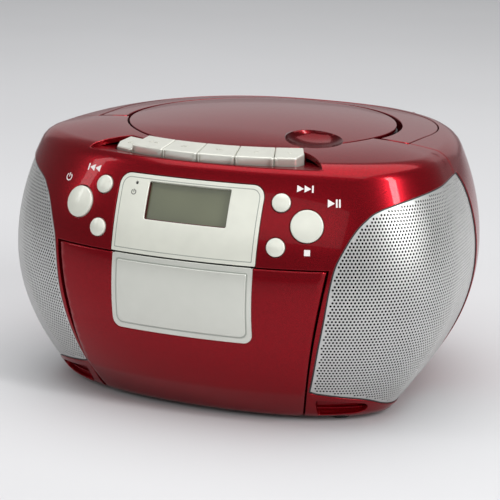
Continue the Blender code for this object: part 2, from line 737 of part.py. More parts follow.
# ------------------------------------------------------------------- handle
def handle(mat):
    """U-shaped carrying handle folded flush round the lid.

    The front ends of its arms are rounded about the pin axis, so that it turns
    freely in its pocket.
    """
    obj = prism_z("handle", handle_outline(), 153.9, 172.0)
    combine(obj, body_solid("cutter", 0.2), "INTERSECT")
    for side in (-1, 1):
        x = side * HANDLE_PIN_X
        axis = (x, HANDLE_AXIS_Y, HANDLE_AXIS_Z)
        front = box("cutter", (x - 16, x + 16), (-40.0, HANDLE_AXIS_Y), (140.0, 180.0))
        combine(front, cylinder("limit", 6.7, -30.0, 30.0, axis, (1, 0, 0), 32))
        combine(obj, front)
        combine(obj, cylinder("cutter", 2.7, -4.0, 14.0, axis, (side, 0, 0), 20))
    return finish(obj, mat, (0, HANDLE_AXIS_Y, HANDLE_AXIS_Z))


def handle_pin(name, side, mat):
    """Steel pin between an arm of the handle and the rear cabinet."""
    axis = (side * HANDLE_PIN_X, HANDLE_AXIS_Y, HANDLE_AXIS_Z)
    obj = cylinder(name, 2.4, -3.0, 13.6, axis, (side, 0, 0), 20)
    return finish(obj, mat, axis)


# ----------------------------------------------------------------- speakers
def speaker_axis(side):
    """Centre of the speaker frame and its outward axis."""
    axis = Vector((side * 0.80, -0.60, 0.0)).normalized()
    return Vector((side * 124.0, -74.0, 88.0)) - axis * 14.0, axis


def speaker_frame(name, side, mat):
    """Pressed steel basket, a closed ring of one wall thickness."""
    centre, axis = speaker_axis(side)
    profile = [
        (35.0, 1.0), (35.0, -1.5), (31.0, -1.5), (18.0, -17.0), (18.0, -19.0), (9.0, -19.0),
        (9.0, -17.0), (16.2, -17.0), (29.5, -0.8), (29.5, 1.0),
    ]
    obj = lathe(name, profile, centre, axis, 22)
    return finish(obj, mat, centre)


def speaker_cone(name, side, mat):
    """Paper cone with its dust cap and rim."""
    centre, axis = speaker_axis(side)
    profile = [
        (0, -11.0), (8.0, -13.6), (26.0, -1.4), (29.0, -0.2), (29.0, 0.6), (26.0, 0.4),
        (9.0, -11.0), (5.0, -9.0), (0, -8.2),
    ]
    obj = lathe(name, profile, centre, axis, 22)
    return finish(obj, mat, centre)


def speaker_magnet(name, side, mat):
    """Ferrite magnet behind the basket."""
    centre, axis = speaker_axis(side)
    profile = [(0, -33.0), (20.0, -33.0), (20.0, -19.6), (0, -19.6)]
    obj = lathe(name, profile, centre, axis, 22)
    return finish(obj, mat, centre)


# ------------------------------------------------------------ tape mechanism
def tape_chassis(mat):
    """Steel mechanism plate with side brackets and clearance holes."""
    obj = box("tape_chassis", (-58.0, 58.0), (-94.0, -92.4), (30.0, 116.0))
    for side in (-1, 1):
        lo, hi = sorted((side * 58.0, side * 56.4))
        combine(obj, box("cutter", (lo, hi), (-93.5, -70.0), (30.0, 116.0)), "UNION")
        combine(obj, cylinder("cutter", 5.2, -100, -86, (side * REEL_X, 0, REEL_Z), (0, 1, 0), 20))
    combine(obj, cylinder("cutter", 2.4, -100, -86, (CAPSTAN[0], 0, CAPSTAN[1]), (0, 1, 0), 16))
    return finish(obj, mat)


def reel_spindle(name, side, mat):
    """Reel spindle with its collar and drive disc."""
    profile = [
        (0, -105.0), (2.4, -104.4), (3.4, -102.0), (3.4, -97.0), (7.0, -96.6), (7.0, -94.6),
        (4.6, -94.4), (4.6, -91.8), (15.0, -91.8), (15.0, -88.8), (0, -88.8),
    ]
    obj = lathe(name, profile, (side * REEL_X, 0, REEL_Z), (0, 1, 0), 18)
    return finish(obj, mat, (side * REEL_X, -94.0, REEL_Z))


def capstan_flywheel(mat):
    """Capstan shaft and flywheel in one piece."""
    profile = [
        (0, -106.0), (1.2, -105.6), (1.2, -88.0), (16.0, -88.0), (17.0, -87.2), (17.0, -82.8),
        (16.0, -82.0), (0, -82.0),
    ]
    obj = lathe("capstan_flywheel", profile, (CAPSTAN[0], 0, CAPSTAN[1]), (0, 1, 0), 28)
    return finish(obj, mat, (CAPSTAN[0], -88.0, CAPSTAN[1]))


def pinch_roller(mat):
    """Rubber roller beside the capstan."""
    profile = [(0, -105.0), (5.6, -105.0), (5.6, -98.0), (1.5, -98.0), (1.5, -94.4), (0, -94.4)]
    obj = lathe("pinch_roller", profile, (CAPSTAN[0] + 7.3, 0, CAPSTAN[1]), (0, 1, 0), 24)
    return finish(obj, mat, (CAPSTAN[0] + 7.3, -98.0, CAPSTAN[1]))


def tape_head(mat):
    """Record and play head on its sliding bridge."""
    obj = box("tape_head", (-7.0, 7.0), (-106.0, -97.0), (99.0, 108.0))
    combine(obj, box("cutter", (-20.0, 14.0), (-97.5, -95.4), (101.0, 112.0)), "UNION")
    return finish(obj, mat, (0, -98.0, 104.0))


def tape_motor(mat):
    """Round motor that drives the belt."""
    profile = [
        (0, -78.0), (4.0, -78.0), (4.0, -76.0), (15.0, -76.0), (16.0, -75.0), (16.0, -55.0),
        (0, -55.0),
    ]
    obj = lathe("tape_motor", profile, (MOTOR[0], 0, MOTOR[1]), (0, 1, 0), 28)
    return finish(obj, mat)


def motor_pulley(mat):
    """Flanged brass pulley on the motor."""
    profile = [
        (0, -88.0), (4.2, -88.0), (4.2, -87.2), (3.0, -86.6), (3.0, -83.4), (4.2, -82.8),
        (4.2, -82.0), (1.0, -82.0), (1.0, -78.4), (0, -78.4),
    ]
    obj = lathe("motor_pulley", profile, (MOTOR[0], 0, MOTOR[1]), (0, 1, 0), 20)
    return finish(obj, mat, (MOTOR[0], -84.0, MOTOR[1]))


def drive_belt(mat):
    """Flat belt round the motor pulley and the flywheel rim."""
    a = Vector((MOTOR[0], MOTOR[1]))
    b = Vector((CAPSTAN[0], CAPSTAN[1]))
    run = (b - a).normalized()
    base = math.atan2(run.y, run.x)
    loops = []
    for extra in (0.3, 1.3):
        ra = 3.0 + extra
        rb = 17.0 + extra
        lean = math.acos((ra - rb) / (b - a).length)
        pts = []
        for k in range(9):
            t = base + lean + (2 * math.pi - 2 * lean) * k / 8
            pts.append((a.x + ra * math.cos(t), a.y + ra * math.sin(t)))
        for k in range(25):
            t = base - lean + 2 * lean * k / 24
            pts.append((b.x + rb * math.cos(t), b.y + rb * math.sin(t)))
        loops.append(pts)
    count = len(loops[0])
    verts = []
    for y in (-86.0, -84.0):
        for pts in loops:
            verts += [(px, y, pz) for px, pz in pts]
    faces = []
    for k in range(count):
        m = (k + 1) % count
        for p, q in ((0, 1), (1, 3), (3, 2), (2, 0)):
            faces.append((p * count + k, p * count + m, q * count + m, q * count + k))
    obj = new_object("drive_belt", verts, faces)
    return finish(obj, mat, (CAPSTAN[0], -85.0, CAPSTAN[1]))


# --------------------------------------------------------------- electronics
def main_circuit_board(mat):
    """Upright main board with its larger components."""
    obj = box("main_circuit_board", (-60.0, 60.0), (-44.0, -42.4), (16.0, 122.0))
    chips = [
        (-40, -14, 30, 56), (0, 22, 60, 76), (30, 50, 24, 48), (-48, -30, 84, 110),
        (-10, 12, 92, 112),
    ]
    for x0, x1, z0, z1 in chips:
        combine(obj, box("cutter", (x0, x1), (-43.0, -36.0), (z0, z1)), "UNION")
    return finish(obj, mat)


def power_transformer(mat):
    """Mains transformer: laminated core with the coil through it."""
    obj = box("power_transformer", (-24.0, 24.0), (10.0, 46.0), (6.2, 46.0))
    combine(obj, box("cutter", (-14.0, 14.0), (2.0, 54.0), (13.0, 39.0)), "UNION")
    return finish(obj, mat)


def ac_inlet(mat):
    """Two-pin mains inlet with an open socket."""
    obj = box("ac_inlet", (36.0, 60.0), (92.0, 113.6), (108.0, 128.0))
    pts = []
    for cx, start in ((52.2, -110), (43.8, 70)):
        for k in range(12):
            t = math.radians(start + 220 * k / 11)
            pts.append((cx + 4.6 * math.cos(t), 118.0 + 4.6 * math.sin(t)))
    combine(obj, prism_y("cutter", pts, 98.0, 130.0))
    for x in (43.8, 52.2):
        combine(obj, cylinder("cutter", 1.2, 96.0, 110.0, (x, 0, 118.0), (0, 1, 0), 12), "UNION")
    return finish(obj, mat)


def battery_door(mat):
    """Rear battery cover with finger grooves, hinged along its lower outer edge."""
    obj = box("battery_door", (-54.0, 54.0), (110.6, 113.8), (50.0, 98.0))
    for k in range(4):
        z = 62.0 + 7.0 * k
        combine(obj, box("cutter", (-20.0, 20.0), (113.0, 116.0), (z, z + 3.0)))
    return finish(obj, mat, (0, 113.8, 50.0))


def side_wheel(name, side, mat):
    """Thumb wheel standing through a slot in the rear side wall."""
    centre = wheel_centre(side)
    r = WHEEL_R
    profile = [(0, -3.6), (r - 0.6, -3.6), (r, -3.0), (r, 3.0), (r - 0.6, 3.6), (0, 3.6)]
    obj = lathe(name, profile, centre, (0, 0, 1), 28)
    return finish(obj, mat, centre)


def function_switch(mat):
    """Slide switch in the slot of the left rear wall."""
    obj = switch_block("function_switch", 4.0, 2.6, 2.4, 5.0)
    return finish(obj, mat, side_point(-1, SWITCH_Y, SWITCH_Z)[0])


# ------------------------------------------------------------------- antenna
def antenna_pivot(mat):
    """Round pivot block; the antenna swings up with it about the Y axis."""
    obj = cylinder("antenna_pivot", 3.3, -2.0, 2.2, PIVOT, (0, 1, 0), 20)
    return finish(obj, mat, PIVOT)


def antenna_tube(mat):
    """Outer tube of the telescopic antenna."""
    profile = [(2.0, -121.0), (2.0, -0.4), (1.3, -0.4), (1.3, -121.0)]
    obj = lathe("antenna_tube", profile, (ANTENNA_ROOT_X, PIVOT[1], PIVOT[2]), (1, 0, 0), 16)
    return finish(obj, mat, PIVOT)


def antenna_rod(mat):
    """Inner rod of the antenna with its tip."""
    profile = [(0, -124.0), (1.8, -124.0), (1.8, -121.4), (1.0, -121.4), (1.0, -2.0), (0, -2.0)]
    obj = lathe("antenna_rod", profile, (ANTENNA_ROOT_X, PIVOT[1], PIVOT[2]), (1, 0, 0), 16)
    return finish(obj, mat, (-62.0, PIVOT[1], PIVOT[2]))


def foot(name, x, y, mat):
    """Rubber foot let into the underside."""
    profile = [(0, 0.0), (6.6, 0.0), (7.0, 0.4), (7.0, 3.6), (0, 3.6)]
    obj = lathe(name, profile, (x, y, 0), steps=24)
    return finish(obj, mat)


FEET = {
    "front_left_foot": (-84.0, -74.0),
    "front_right_foot": (84.0, -74.0),
    "rear_left_foot": (-62.0, 66.0),
    "rear_right_foot": (62.0, 66.0),
}


def build():
    """Clear the scene and make every sub-part."""
    for old in list(bpy.data.objects):
        bpy.data.objects.remove(old, do_unlink=True)
    red = material("candy_red_plastic", (0.42, 0.012, 0.03), 0.25)
    dark = material("dark_red_plastic", (0.16, 0.006, 0.012), 0.35)
    pearl = material("pearl_plastic", (0.74, 0.75, 0.70), 0.35)
    silver = material("silver_plastic", (0.62, 0.63, 0.62), 0.30, 0.5)
    mesh_metal = material("grille_metal", (0.52, 0.52, 0.53), 0.40, 0.8)
    lcd = material("lcd_glass", (0.16, 0.17, 0.13), 0.20)
    black = material("black_plastic", (0.02, 0.02, 0.022), 0.50)
    steel = material("plated_steel", (0.55, 0.56, 0.58), 0.32, 1.0)
    brass = material("brass", (0.70, 0.52, 0.22), 0.30, 1.0)
    ferrite = material("ferrite", (0.06, 0.06, 0.065), 0.60)
    paper = material("cone_paper", (0.05, 0.05, 0.055), 0.85)
    rubber = material("rubber", (0.03, 0.03, 0.03), 0.80)
    board = material("circuit_board", (0.03, 0.16, 0.06), 0.50)

    parts = [front_cabinet(red), rear_cabinet(red)]
    parts += [grille("left_grille", -1, mesh_metal), grille("right_grille", 1, mesh_metal)]
    parts += [display_bezel(pearl), lcd_module(lcd), cassette_door(red), door_window(silver)]
    parts += [cassette_holder(black)]
    parts += [button(name, pearl) for name in BUTTONS]
    parts += [piano_key(k, silver) for k in range(6)]
    parts += [cd_lid(red), cd_deck(dark), spindle_hub(black), spindle_motor(steel)]
    parts += [laser_sled(black)]
    parts += [handle(red)]
    parts += [handle_pin("left_handle_pin", -1, steel), handle_pin("right_handle_pin", 1, steel)]
    for label, side in (("left", -1), ("right", 1)):
        parts.append(speaker_frame(label + "_speaker_frame", side, steel))
        parts.append(speaker_cone(label + "_speaker_cone", side, paper))
        parts.append(speaker_magnet(label + "_speaker_magnet", side, ferrite))
    parts += [tape_chassis(steel)]
    parts += [reel_spindle("supply_reel", -1, black), reel_spindle("takeup_reel", 1, black)]
    parts += [capstan_flywheel(brass), pinch_roller(rubber), tape_head(steel), tape_motor(steel)]
    parts += [motor_pulley(brass), drive_belt(rubber)]
    parts += [main_circuit_board(board), power_transformer(steel)]
    parts += [ac_inlet(black), battery_door(red), side_wheel("volume_wheel", -1, black)]
    parts += [side_wheel("tuning_wheel", 1, black), function_switch(black)]
    parts += [antenna_pivot(black), antenna_tube(steel), antenna_rod(steel)]
    parts += [foot(name, x, y, rubber) for name, (x, y) in FEET.items()]
    for name, (x, y) in FEET.items():
        home = parts[0] if y < SPLIT_Y else parts[1]
        combine(home, cylinder("cutter", 7.3, -5.0, 3.9, (x, y, 0), steps=24))
    for home in parts[:2]:
        home.data.shade_smooth()
        home.data.set_sharp_from_angle(angle=math.radians(35.0))
    for part in parts:
        if part.name in TAPE_DECK:
            part.location.y += TAPE_BACK * MM
        part.location.y -= MIDDLE_Y * MM
    return parts


build()
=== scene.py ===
"""Looks of the radio and disc cassette player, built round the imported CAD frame.

Lengths in this file are millimetres in the CAD layout; `world` turns them into
the frame's metres.  The case surface is one smooth map from (girth, height) to
space, and every panel on it is a trimmed, filleted solid patch of that map.
"""
import math

import bmesh
import bpy
import numpy as np
from mathutils import Matrix, Vector
from mathutils.geometry import delaunay_2d_cdt

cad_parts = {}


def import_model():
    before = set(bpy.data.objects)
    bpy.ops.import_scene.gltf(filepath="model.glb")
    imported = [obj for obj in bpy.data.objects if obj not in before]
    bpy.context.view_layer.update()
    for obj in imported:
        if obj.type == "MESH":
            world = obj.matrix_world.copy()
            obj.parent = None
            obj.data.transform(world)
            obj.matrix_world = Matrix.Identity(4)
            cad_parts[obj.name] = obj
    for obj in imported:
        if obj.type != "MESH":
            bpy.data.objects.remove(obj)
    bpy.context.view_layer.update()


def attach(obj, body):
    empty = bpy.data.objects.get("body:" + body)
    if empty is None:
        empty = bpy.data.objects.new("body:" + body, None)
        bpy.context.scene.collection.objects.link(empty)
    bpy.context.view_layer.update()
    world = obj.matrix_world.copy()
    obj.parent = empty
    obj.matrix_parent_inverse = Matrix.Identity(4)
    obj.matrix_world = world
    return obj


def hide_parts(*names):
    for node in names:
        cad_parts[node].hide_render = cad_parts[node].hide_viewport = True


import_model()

MM = 0.001
MIDDLE_Y = -10.15          # CAD sketches are shifted by this onto the frame
SIDES = {"left": -1, "right": 1}

# case surface, as in the CAD
HALF_WIDTH = 150.0
WIDEST_Y = -45.2
FRONT_DEPTH = 88.8
REAR_DEPTH = 178.8
FRONT_POWER = 2.2
REAR_POWER = 2.3
REAR_Y = 114.0
REAR_BLEND = 2.2
BELLY_Z = 91.9
BELLY_TILT = 10.7
CURVE_SIDE = 0.0051
CURVE_FRONT = 0.0048
CURVE_REAR = 0.0039
CURVE_TOP = 0.0038
BOTTOM_Z = 2.4
BOTTOM_R = 3.4
WALL_TOP = 156.0
SHOULDER_R = 7.4
SHOULDER_END = 1.382       # radians of shoulder before the crown takes over
CROWN_SLOPE = 0.17
CROWN_REACH = 50.0
TOP_MID_Y = 5.6
LID_R = 87.4
LID_Y = -1.0
LID_RISE = 6.0
SEAM_Z = 104.2
KEY_ARC_Y = 42.0
KEY_R_FRONT = 150.0
KEY_R_BACK = 134.0
LOW_W = BOTTOM_Z + BOTTOM_R
EDGE_W = LOW_W - BOTTOM_R * math.pi / 2      # where the underside begins
CROWN_W = WALL_TOP + SHOULDER_R * SHOULDER_END


# ------------------------------------------------------------ case surface
def make_girth():
    """Dense table of the widest outline against its own length."""
    t = np.linspace(-math.pi, math.pi, 8001)
    s = np.sin(t)
    c = np.cos(t)
    power = np.where(c > 0, FRONT_POWER, REAR_POWER)
    depth = np.where(c > 0, FRONT_DEPTH, REAR_DEPTH)
    x = HALF_WIDTH * np.sign(s) * np.abs(s) ** (2 / power)
    y = -depth * np.sign(c) * np.abs(c) ** (2 / power)
    gx = np.sign(x) * np.abs(x / HALF_WIDTH) ** (power - 1) / HALF_WIDTH
    gy = np.sign(y) * np.abs(y / depth) ** (power - 1) / depth
    size = np.hypot(gx, gy)
    run = np.concatenate([[0], np.cumsum(np.hypot(np.diff(x), np.diff(y)))])
    run -= np.interp(0.0, t, run)
    return run, x, y + WIDEST_Y, gx / size, gy / size


GIRTH = make_girth()
GIRTH_END = float(GIRTH[0][-1])


def rows(run, w):
    """Rows of (run, w) along one w."""
    return np.stack([run, np.full_like(run, w)], -1)


def crown_rise(w):
    """Rise of the case top inwards from the end of the shoulder."""
    crown = np.clip(w - CROWN_W, 0, CROWN_REACH)
    return CROWN_SLOPE * (crown - crown ** 2 / (2 * CROWN_REACH))


def case_point(q, inset=0.0):
    """Case surface at rows of (girth, height) in millimetres, inset inwards."""
    q = np.asarray(q, float)
    run = (q[:, 0] + GIRTH_END) % (2 * GIRTH_END) - GIRTH_END
    w = q[:, 1]
    x, y, nx, ny = (np.interp(run, GIRTH[0], column) for column in GIRTH[1:])
    size = np.hypot(nx, ny)
    nx = nx / size
    ny = ny / size
    shoulder = np.clip((w - WALL_TOP) / SHOULDER_R, 0, SHOULDER_END)
    hem = np.clip((LOW_W - w) / BOTTOM_R, 0, math.pi / 2)
    z = np.clip(w, LOW_W, WALL_TOP) + SHOULDER_R * np.sin(shoulder) - BOTTOM_R * np.sin(hem)
    belly = BELLY_Z + BELLY_TILT * ny
    front = np.maximum(0, -ny) ** 2
    rear = np.maximum(0, ny) ** 2
    below = CURVE_SIDE + (CURVE_FRONT - CURVE_SIDE) * front + (CURVE_REAR - CURVE_SIDE) * rear
    curve = np.where(z < belly, below, CURVE_TOP)
    pull = curve * (z - belly) ** 2 + inset
    pull = pull + SHOULDER_R * (1 - np.cos(shoulder)) + BOTTOM_R * (1 - np.cos(hem))
    px = x - nx * pull
    py = y - ny * pull
    reach = np.hypot(px, py - TOP_MID_Y)
    inward = np.maximum(0, w - CROWN_W) + np.maximum(0, EDGE_W - w)
    share = np.maximum(1 - inward / reach, 0.02)
    z = z + crown_rise(w)
    px = px * share
    py = TOP_MID_Y + (py - TOP_MID_Y) * share
    py = REAR_Y - REAR_BLEND * np.logaddexp(0, (REAR_Y - py) / REAR_BLEND)
    return np.stack([px, py, z], -1)


def make_crown():
    """Direction and reach of the crown's rim, to find (girth, height) from above."""
    run = np.linspace(-GIRTH_END * 0.9999, GIRTH_END * 0.9999, 4001)
    rim = case_point(rows(run, CROWN_W))
    angle = np.unwrap(np.arctan2(rim[:, 0], -(rim[:, 1] - TOP_MID_Y)))
    return run, angle, np.hypot(rim[:, 0], rim[:, 1] - TOP_MID_Y)


CROWN_TABLE = make_crown()


def from_above(points):
    """(girth, height) of plan points on the crown."""
    p = np.asarray(points, float)
    angle = np.arctan2(p[:, 0], -(p[:, 1] - TOP_MID_Y))
    run = np.interp(angle, CROWN_TABLE[1], CROWN_TABLE[0])
    reach = np.interp(angle, CROWN_TABLE[1], CROWN_TABLE[2])
    return np.stack([run, CROWN_W + reach - np.hypot(p[:, 0], p[:, 1] - TOP_MID_Y)], -1)


def crown_z(points):
    """Height of the case top over plan points."""
    return WALL_TOP + SHOULDER_R * math.sin(SHOULDER_END) + crown_rise(from_above(points)[:, 1])


def wall_w(z):
    """Height coordinate of a z on the wall or the shoulder."""
    if z <= WALL_TOP:
        return z
    return WALL_TOP + SHOULDER_R * math.asin(min(0.98, (z - WALL_TOP) / SHOULDER_R))


def from_side(points, direction, low, high):
    """(girth, height) of points given as (distance along a flat direction, z)."""
    out = []
    run = np.linspace(low, high, 900)
    for u, z in points:
        w = wall_w(z)
        at = case_point(rows(run, w))
        along = at[:, 0] * direction[0] + at[:, 1] * direction[1]
        out.append((float(np.interp(u, along, run)), w))
    return np.array(out)


def from_front(points):
    """(girth, height) of x, z points on the front."""
    return from_side(points, (1.0, 0.0), -230.0, 230.0)


def sunk(inset):
    """Surface map of the case, set inwards."""
    return lambda q: case_point(q, inset)


# ------------------------------------------------------------- 2-D outlines
def smooth_loop(points, step=2.0, tension=0.5):
    """Closed Catmull-Rom curve through the points, sampled about every step."""
    p = np.asarray(points, float)
    out = []
    n = len(p)
    for i in range(n):
        a, b, c, d = p[i - 1], p[i], p[(i + 1) % n], p[(i + 2) % n]
        count = max(1, int(round(np.linalg.norm(c - b) / step)))
        for k in range(count):
            s = k / count
            m0 = (c - a) * tension
            m1 = (d - b) * tension
            out.append(
                (2 * s ** 3 - 3 * s ** 2 + 1) * b + (s ** 3 - 2 * s ** 2 + s) * m0
                + (-2 * s ** 3 + 3 * s ** 2) * c + (s ** 3 - s ** 2) * m1
            )
    return np.array(out)


def dense(points, step=2.0):
    """Closed polyline with no side longer than step."""
    p = np.asarray(points, float)
    out = []
    for i in range(len(p)):
        a, b = p[i], p[(i + 1) % len(p)]
        count = max(1, int(math.ceil(np.linalg.norm(b - a) / step)))
        for k in range(count):
            out.append(a + (b - a) * k / count)
    return np.array(out)


def round_rect(x0, x1, y0, y1, radii, steps=6):
    """Counter-clockwise rectangle; one radius, or those at (x0,y0) (x1,y0) (x1,y1) (x0,y1)."""
    corners = [((x0, y0), 180), ((x1, y0), 270), ((x1, y1), 0), ((x0, y1), 90)]
    out = []
    for ((cx, cy), start), r in zip(corners, np.broadcast_to(radii, 4)):
        mx = cx + (r if cx == x0 else -r)
        my = cy + (r if cy == y0 else -r)
        for k in range(steps + 1):
            t = math.radians(start + 90 * k / steps)
            out.append((mx + r * math.cos(t), my + r * math.sin(t)))
    return np.array(out)


def front_rect(x0, x1, z0, z1, radii, step=1.6, steps=6):
    """Rounded rectangle on the front, in (girth, height)."""
    return from_front(dense(round_rect(x0, x1, z0, z1, radii, steps), step))


def circle(cx, cy, r, steps):
    """Regular polygon standing for a circle."""
    t = np.linspace(0, 2 * math.pi, steps, endpoint=False)
    return np.stack([cx + r * np.cos(t), cy + r * np.sin(t)], -1)


def grow(loop, distance):
    """Counter-clockwise loop moved outwards."""
    p = np.asarray(loop, float)
    before = p - np.roll(p, 1, 0)
    after = np.roll(p, -1, 0) - p
    before /= np.linalg.norm(before, axis=1)[:, None] + 1e-9
    after /= np.linalg.norm(after, axis=1)[:, None] + 1e-9
    na = np.stack([before[:, 1], -before[:, 0]], -1)
    nb = np.stack([after[:, 1], -after[:, 0]], -1)
    n = na + nb
    n /= np.linalg.norm(n, axis=1)[:, None] + 1e-9
    scale = distance / np.maximum(0.5, (n * na).sum(1))
    return p + n * scale[:, None]


def ccw(loop):
    """The loop, turned counter-clockwise."""
    p = np.asarray(loop, float)
    q = np.roll(p, -1, 0)
    area = (p[:, 0] * q[:, 1] - q[:, 0] * p[:, 1]).sum()
    return p if area > 0 else p[::-1]


def mirrored(q, side):
    """An outline of the right side on either side, counter-clockwise."""
    return ccw(q * [side, 1])


def inside(points, loop):
    """Which points are inside a closed loop (even-odd rule)."""
    p = np.asarray(points, float)
    a = np.asarray(loop, float)
    b = np.roll(a, -1, 0)
    hit = np.zeros(len(p), bool)
    for (ax, ay), (bx, by) in zip(a, b):
        if ay != by:
            spans = (ay > p[:, 1]) != (by > p[:, 1])
            hit ^= spans & (p[:, 0] < (bx - ax) * (p[:, 1] - ay) / (by - ay) + ax)
    return hit


def near_loop(points, loop, distance):
    """Which points lie within a distance of a closed loop."""
    p = np.asarray(points, float)
    a = np.asarray(loop, float)
    b = np.roll(a, -1, 0)
    out = np.zeros(len(p), bool)
    for start, end in zip(a, b):
        d = end - start
        s = np.clip(((p - start) @ d) / (d @ d + 1e-12), 0, 1)
        out |= np.linalg.norm(p - start - s[:, None] * d, axis=1) < distance
    return out


def in_box(points, loop, margin=0.0):
    """Which points are in the box round a loop."""
    return np.all((points > loop.min(0) - margin) & (points < loop.max(0) + margin), axis=1)


def staggered(low, high, pitch, row):
    """Points of a box, every other row moved by half a pitch."""
    out = [np.zeros((0, 2))]
    for i, v in enumerate(np.arange(low[1], high[1], row)):
        out.append(rows(np.arange(low[0] + pitch * 0.5 * (i % 2), high[0], pitch), v))
    return np.concatenate(out)


# ------------------------------------------------------------ solid patches
def world(points):
    """CAD layout millimetres to frame metres."""
    p = np.array(points, float)
    p[:, 1] -= MIDDLE_Y
    return p * MM


def add_mesh(name, points, faces, mat, normals=None, sharp=40.0):
    """A piece from layout points; smooth with given normals or a sharp angle."""
    mesh = bpy.data.meshes.new(name)
    mesh.from_pydata([tuple(p) for p in world(points)], [], [tuple(int(i) for i in f) for f in faces])
    mesh.materials.append(mat)
    mesh.shade_smooth()
    if normals is None:
        mesh.set_sharp_from_angle(angle=math.radians(sharp))
    else:
        mesh.normals_split_custom_set_from_vertices([tuple(n) for n in normals])
    obj = bpy.data.objects.new(name, mesh)
    bpy.context.scene.collection.objects.link(obj)
    return obj


def surface_normals(surface, q, h=0.15):
    """Unit normals of a surface map by central differences."""
    du = surface(q + [h, 0]) - surface(q - [h, 0])
    dv = surface(q + [0, h]) - surface(q - [0, h])
    n = np.cross(du, dv)
    return n / (np.linalg.norm(n, axis=1)[:, None] + 1e-12)


def ring_edges(start, count):
    """Index pairs round a closed loop."""
    return [(start + i, start + (i + 1) % count) for i in range(count)]


def turned_up(points, faces):
    """The triangles, all counter-clockwise."""
    a, b, c = (points[faces[:, k]] for k in range(3))
    area = (b[:, 0] - a[:, 0]) * (c[:, 1] - a[:, 1]) - (b[:, 1] - a[:, 1]) * (c[:, 0] - a[:, 0])
    return np.where((area > 0)[:, None], faces, faces[:, ::-1])


def triangulate(border, holes, spacing, lines=()):
    """Triangles of a region with holes and open lines, on a staggered lattice."""
    loops = [np.asarray(border, float)] + [np.asarray(h, float) for h in holes]
    outer = loops[0]
    lattice = staggered(outer.min(0) + spacing * 0.5, outer.max(0), spacing, spacing * 0.87)
    keep = inside(lattice, outer) & ~near_loop(lattice, outer, spacing * 0.45)
    for hole in loops[1:]:
        idx = np.where(keep & in_box(lattice, hole, spacing))[0]
        bad = inside(lattice[idx], hole) | near_loop(lattice[idx], hole, spacing * 0.45)
        keep[idx[bad]] = False
    lattice = lattice[keep]
    for line in lines:
        idx = np.where(in_box(lattice, line, spacing))[0]
        lattice = np.delete(lattice, idx[near_loop(lattice[idx], line, spacing * 0.4)], axis=0)
    edges = []
    start = 0
    for loop in loops:
        edges += ring_edges(start, len(loop))
        start += len(loop)
    for line in lines:
        edges += ring_edges(start, len(line))[:-1]
        start += len(line)
    verts = np.concatenate(loops + list(lines) + [lattice])
    found = delaunay_2d_cdt([Vector(v) for v in verts], edges, [], 0, 1e-5)
    points = np.array([tuple(v) for v in found[0]])
    faces = np.array(found[2])
    middle = points[faces].mean(1)
    good = inside(middle, outer)
    for hole in loops[1:]:
        idx = np.where(good & in_box(middle, hole))[0]
        good[idx[inside(middle[idx], hole)]] = False
    faces = turned_up(points, faces[good])
    used, inverse = np.unique(faces.ravel(), return_inverse=True)
    return points[used], inverse.reshape(-1, 3)


def thicken(top, normals, faces, radius, depth, steps=3, floor_z=None):
    """Close a patch into a solid: filleted rim, side wall and inner skin.

    The rim fillet reaches `radius` beyond the patch's edge and the wall then goes
    down by depth, or straight down to the height that floor_z gives for a plan point.
    """
    count = len(top)
    pairs = np.concatenate([faces[:, [0, 1]], faces[:, [1, 2]], faces[:, [2, 0]]])
    code = pairs[:, 0].astype(np.int64) * count + pairs[:, 1]
    back = pairs[:, 1].astype(np.int64) * count + pairs[:, 0]
    rim = pairs[~np.isin(code, back)]
    out = np.zeros((count, 3))
    for a, b in rim:
        run = top[b] - top[a]
        side = np.cross(run, normals[a] + normals[b])
        side /= np.linalg.norm(side) + 1e-12
        out[a] += side
        out[b] += side
    on_rim = np.unique(rim.ravel())
    length = np.linalg.norm(out[on_rim], axis=1)
    out[on_rim] /= np.maximum(length, 0.8)[:, None] ** 2 / 2
    unit = out / (np.linalg.norm(out, axis=1)[:, None] + 1e-12)
    points = [top]
    shade = [normals]
    order = {v: i for i, v in enumerate(on_rim)}
    rings = [on_rim]
    start = count
    r = radius
    for k in range(1, steps + 1):
        a = math.pi / 2 * k / steps
        outward = out[on_rim] * r * math.sin(a)
        points.append(top[on_rim] + outward - normals[on_rim] * r * (1 - math.cos(a)))
        shade.append(unit[on_rim] * math.sin(a) + normals[on_rim] * math.cos(a))
        rings.append(np.arange(start, start + len(on_rim)))
        start += len(on_rim)
    inner = top - normals * depth
    inner[on_rim] += out[on_rim] * r
    under = -normals
    if floor_z is not None:
        inner[:, :2] = top[:, :2]
        inner[on_rim, :2] += (out[on_rim] * r)[:, :2]
        inner[:, 2] = floor_z(inner)
        under = np.tile([0.0, 0.0, -1.0], (count, 1))
    points.append(inner[on_rim])
    shade.append(unit[on_rim])
    rings.append(np.arange(start, start + len(on_rim)))
    start += len(on_rim)
    points.append(inner)
    shade.append(under)
    result = [tuple(f) for f in faces]
    for ring, following in zip(rings[:-1], rings[1:]):
        for a, b in rim:
            i, j = order[a], order[b]
            result.append((ring[i], following[i], following[j], ring[j]))
    result += [(f[0] + start, f[2] + start, f[1] + start) for f in faces]
    last = rings[-1]
    for a, b in rim:
        result.append((last[order[a]], a + start, b + start, last[order[b]]))
    return np.concatenate(points), np.concatenate(shade), result


def skinned(name, solid, mat):
    """A piece from what thicken returns."""
    points, shade, faces = solid
    return add_mesh(name, points, faces, mat, shade)


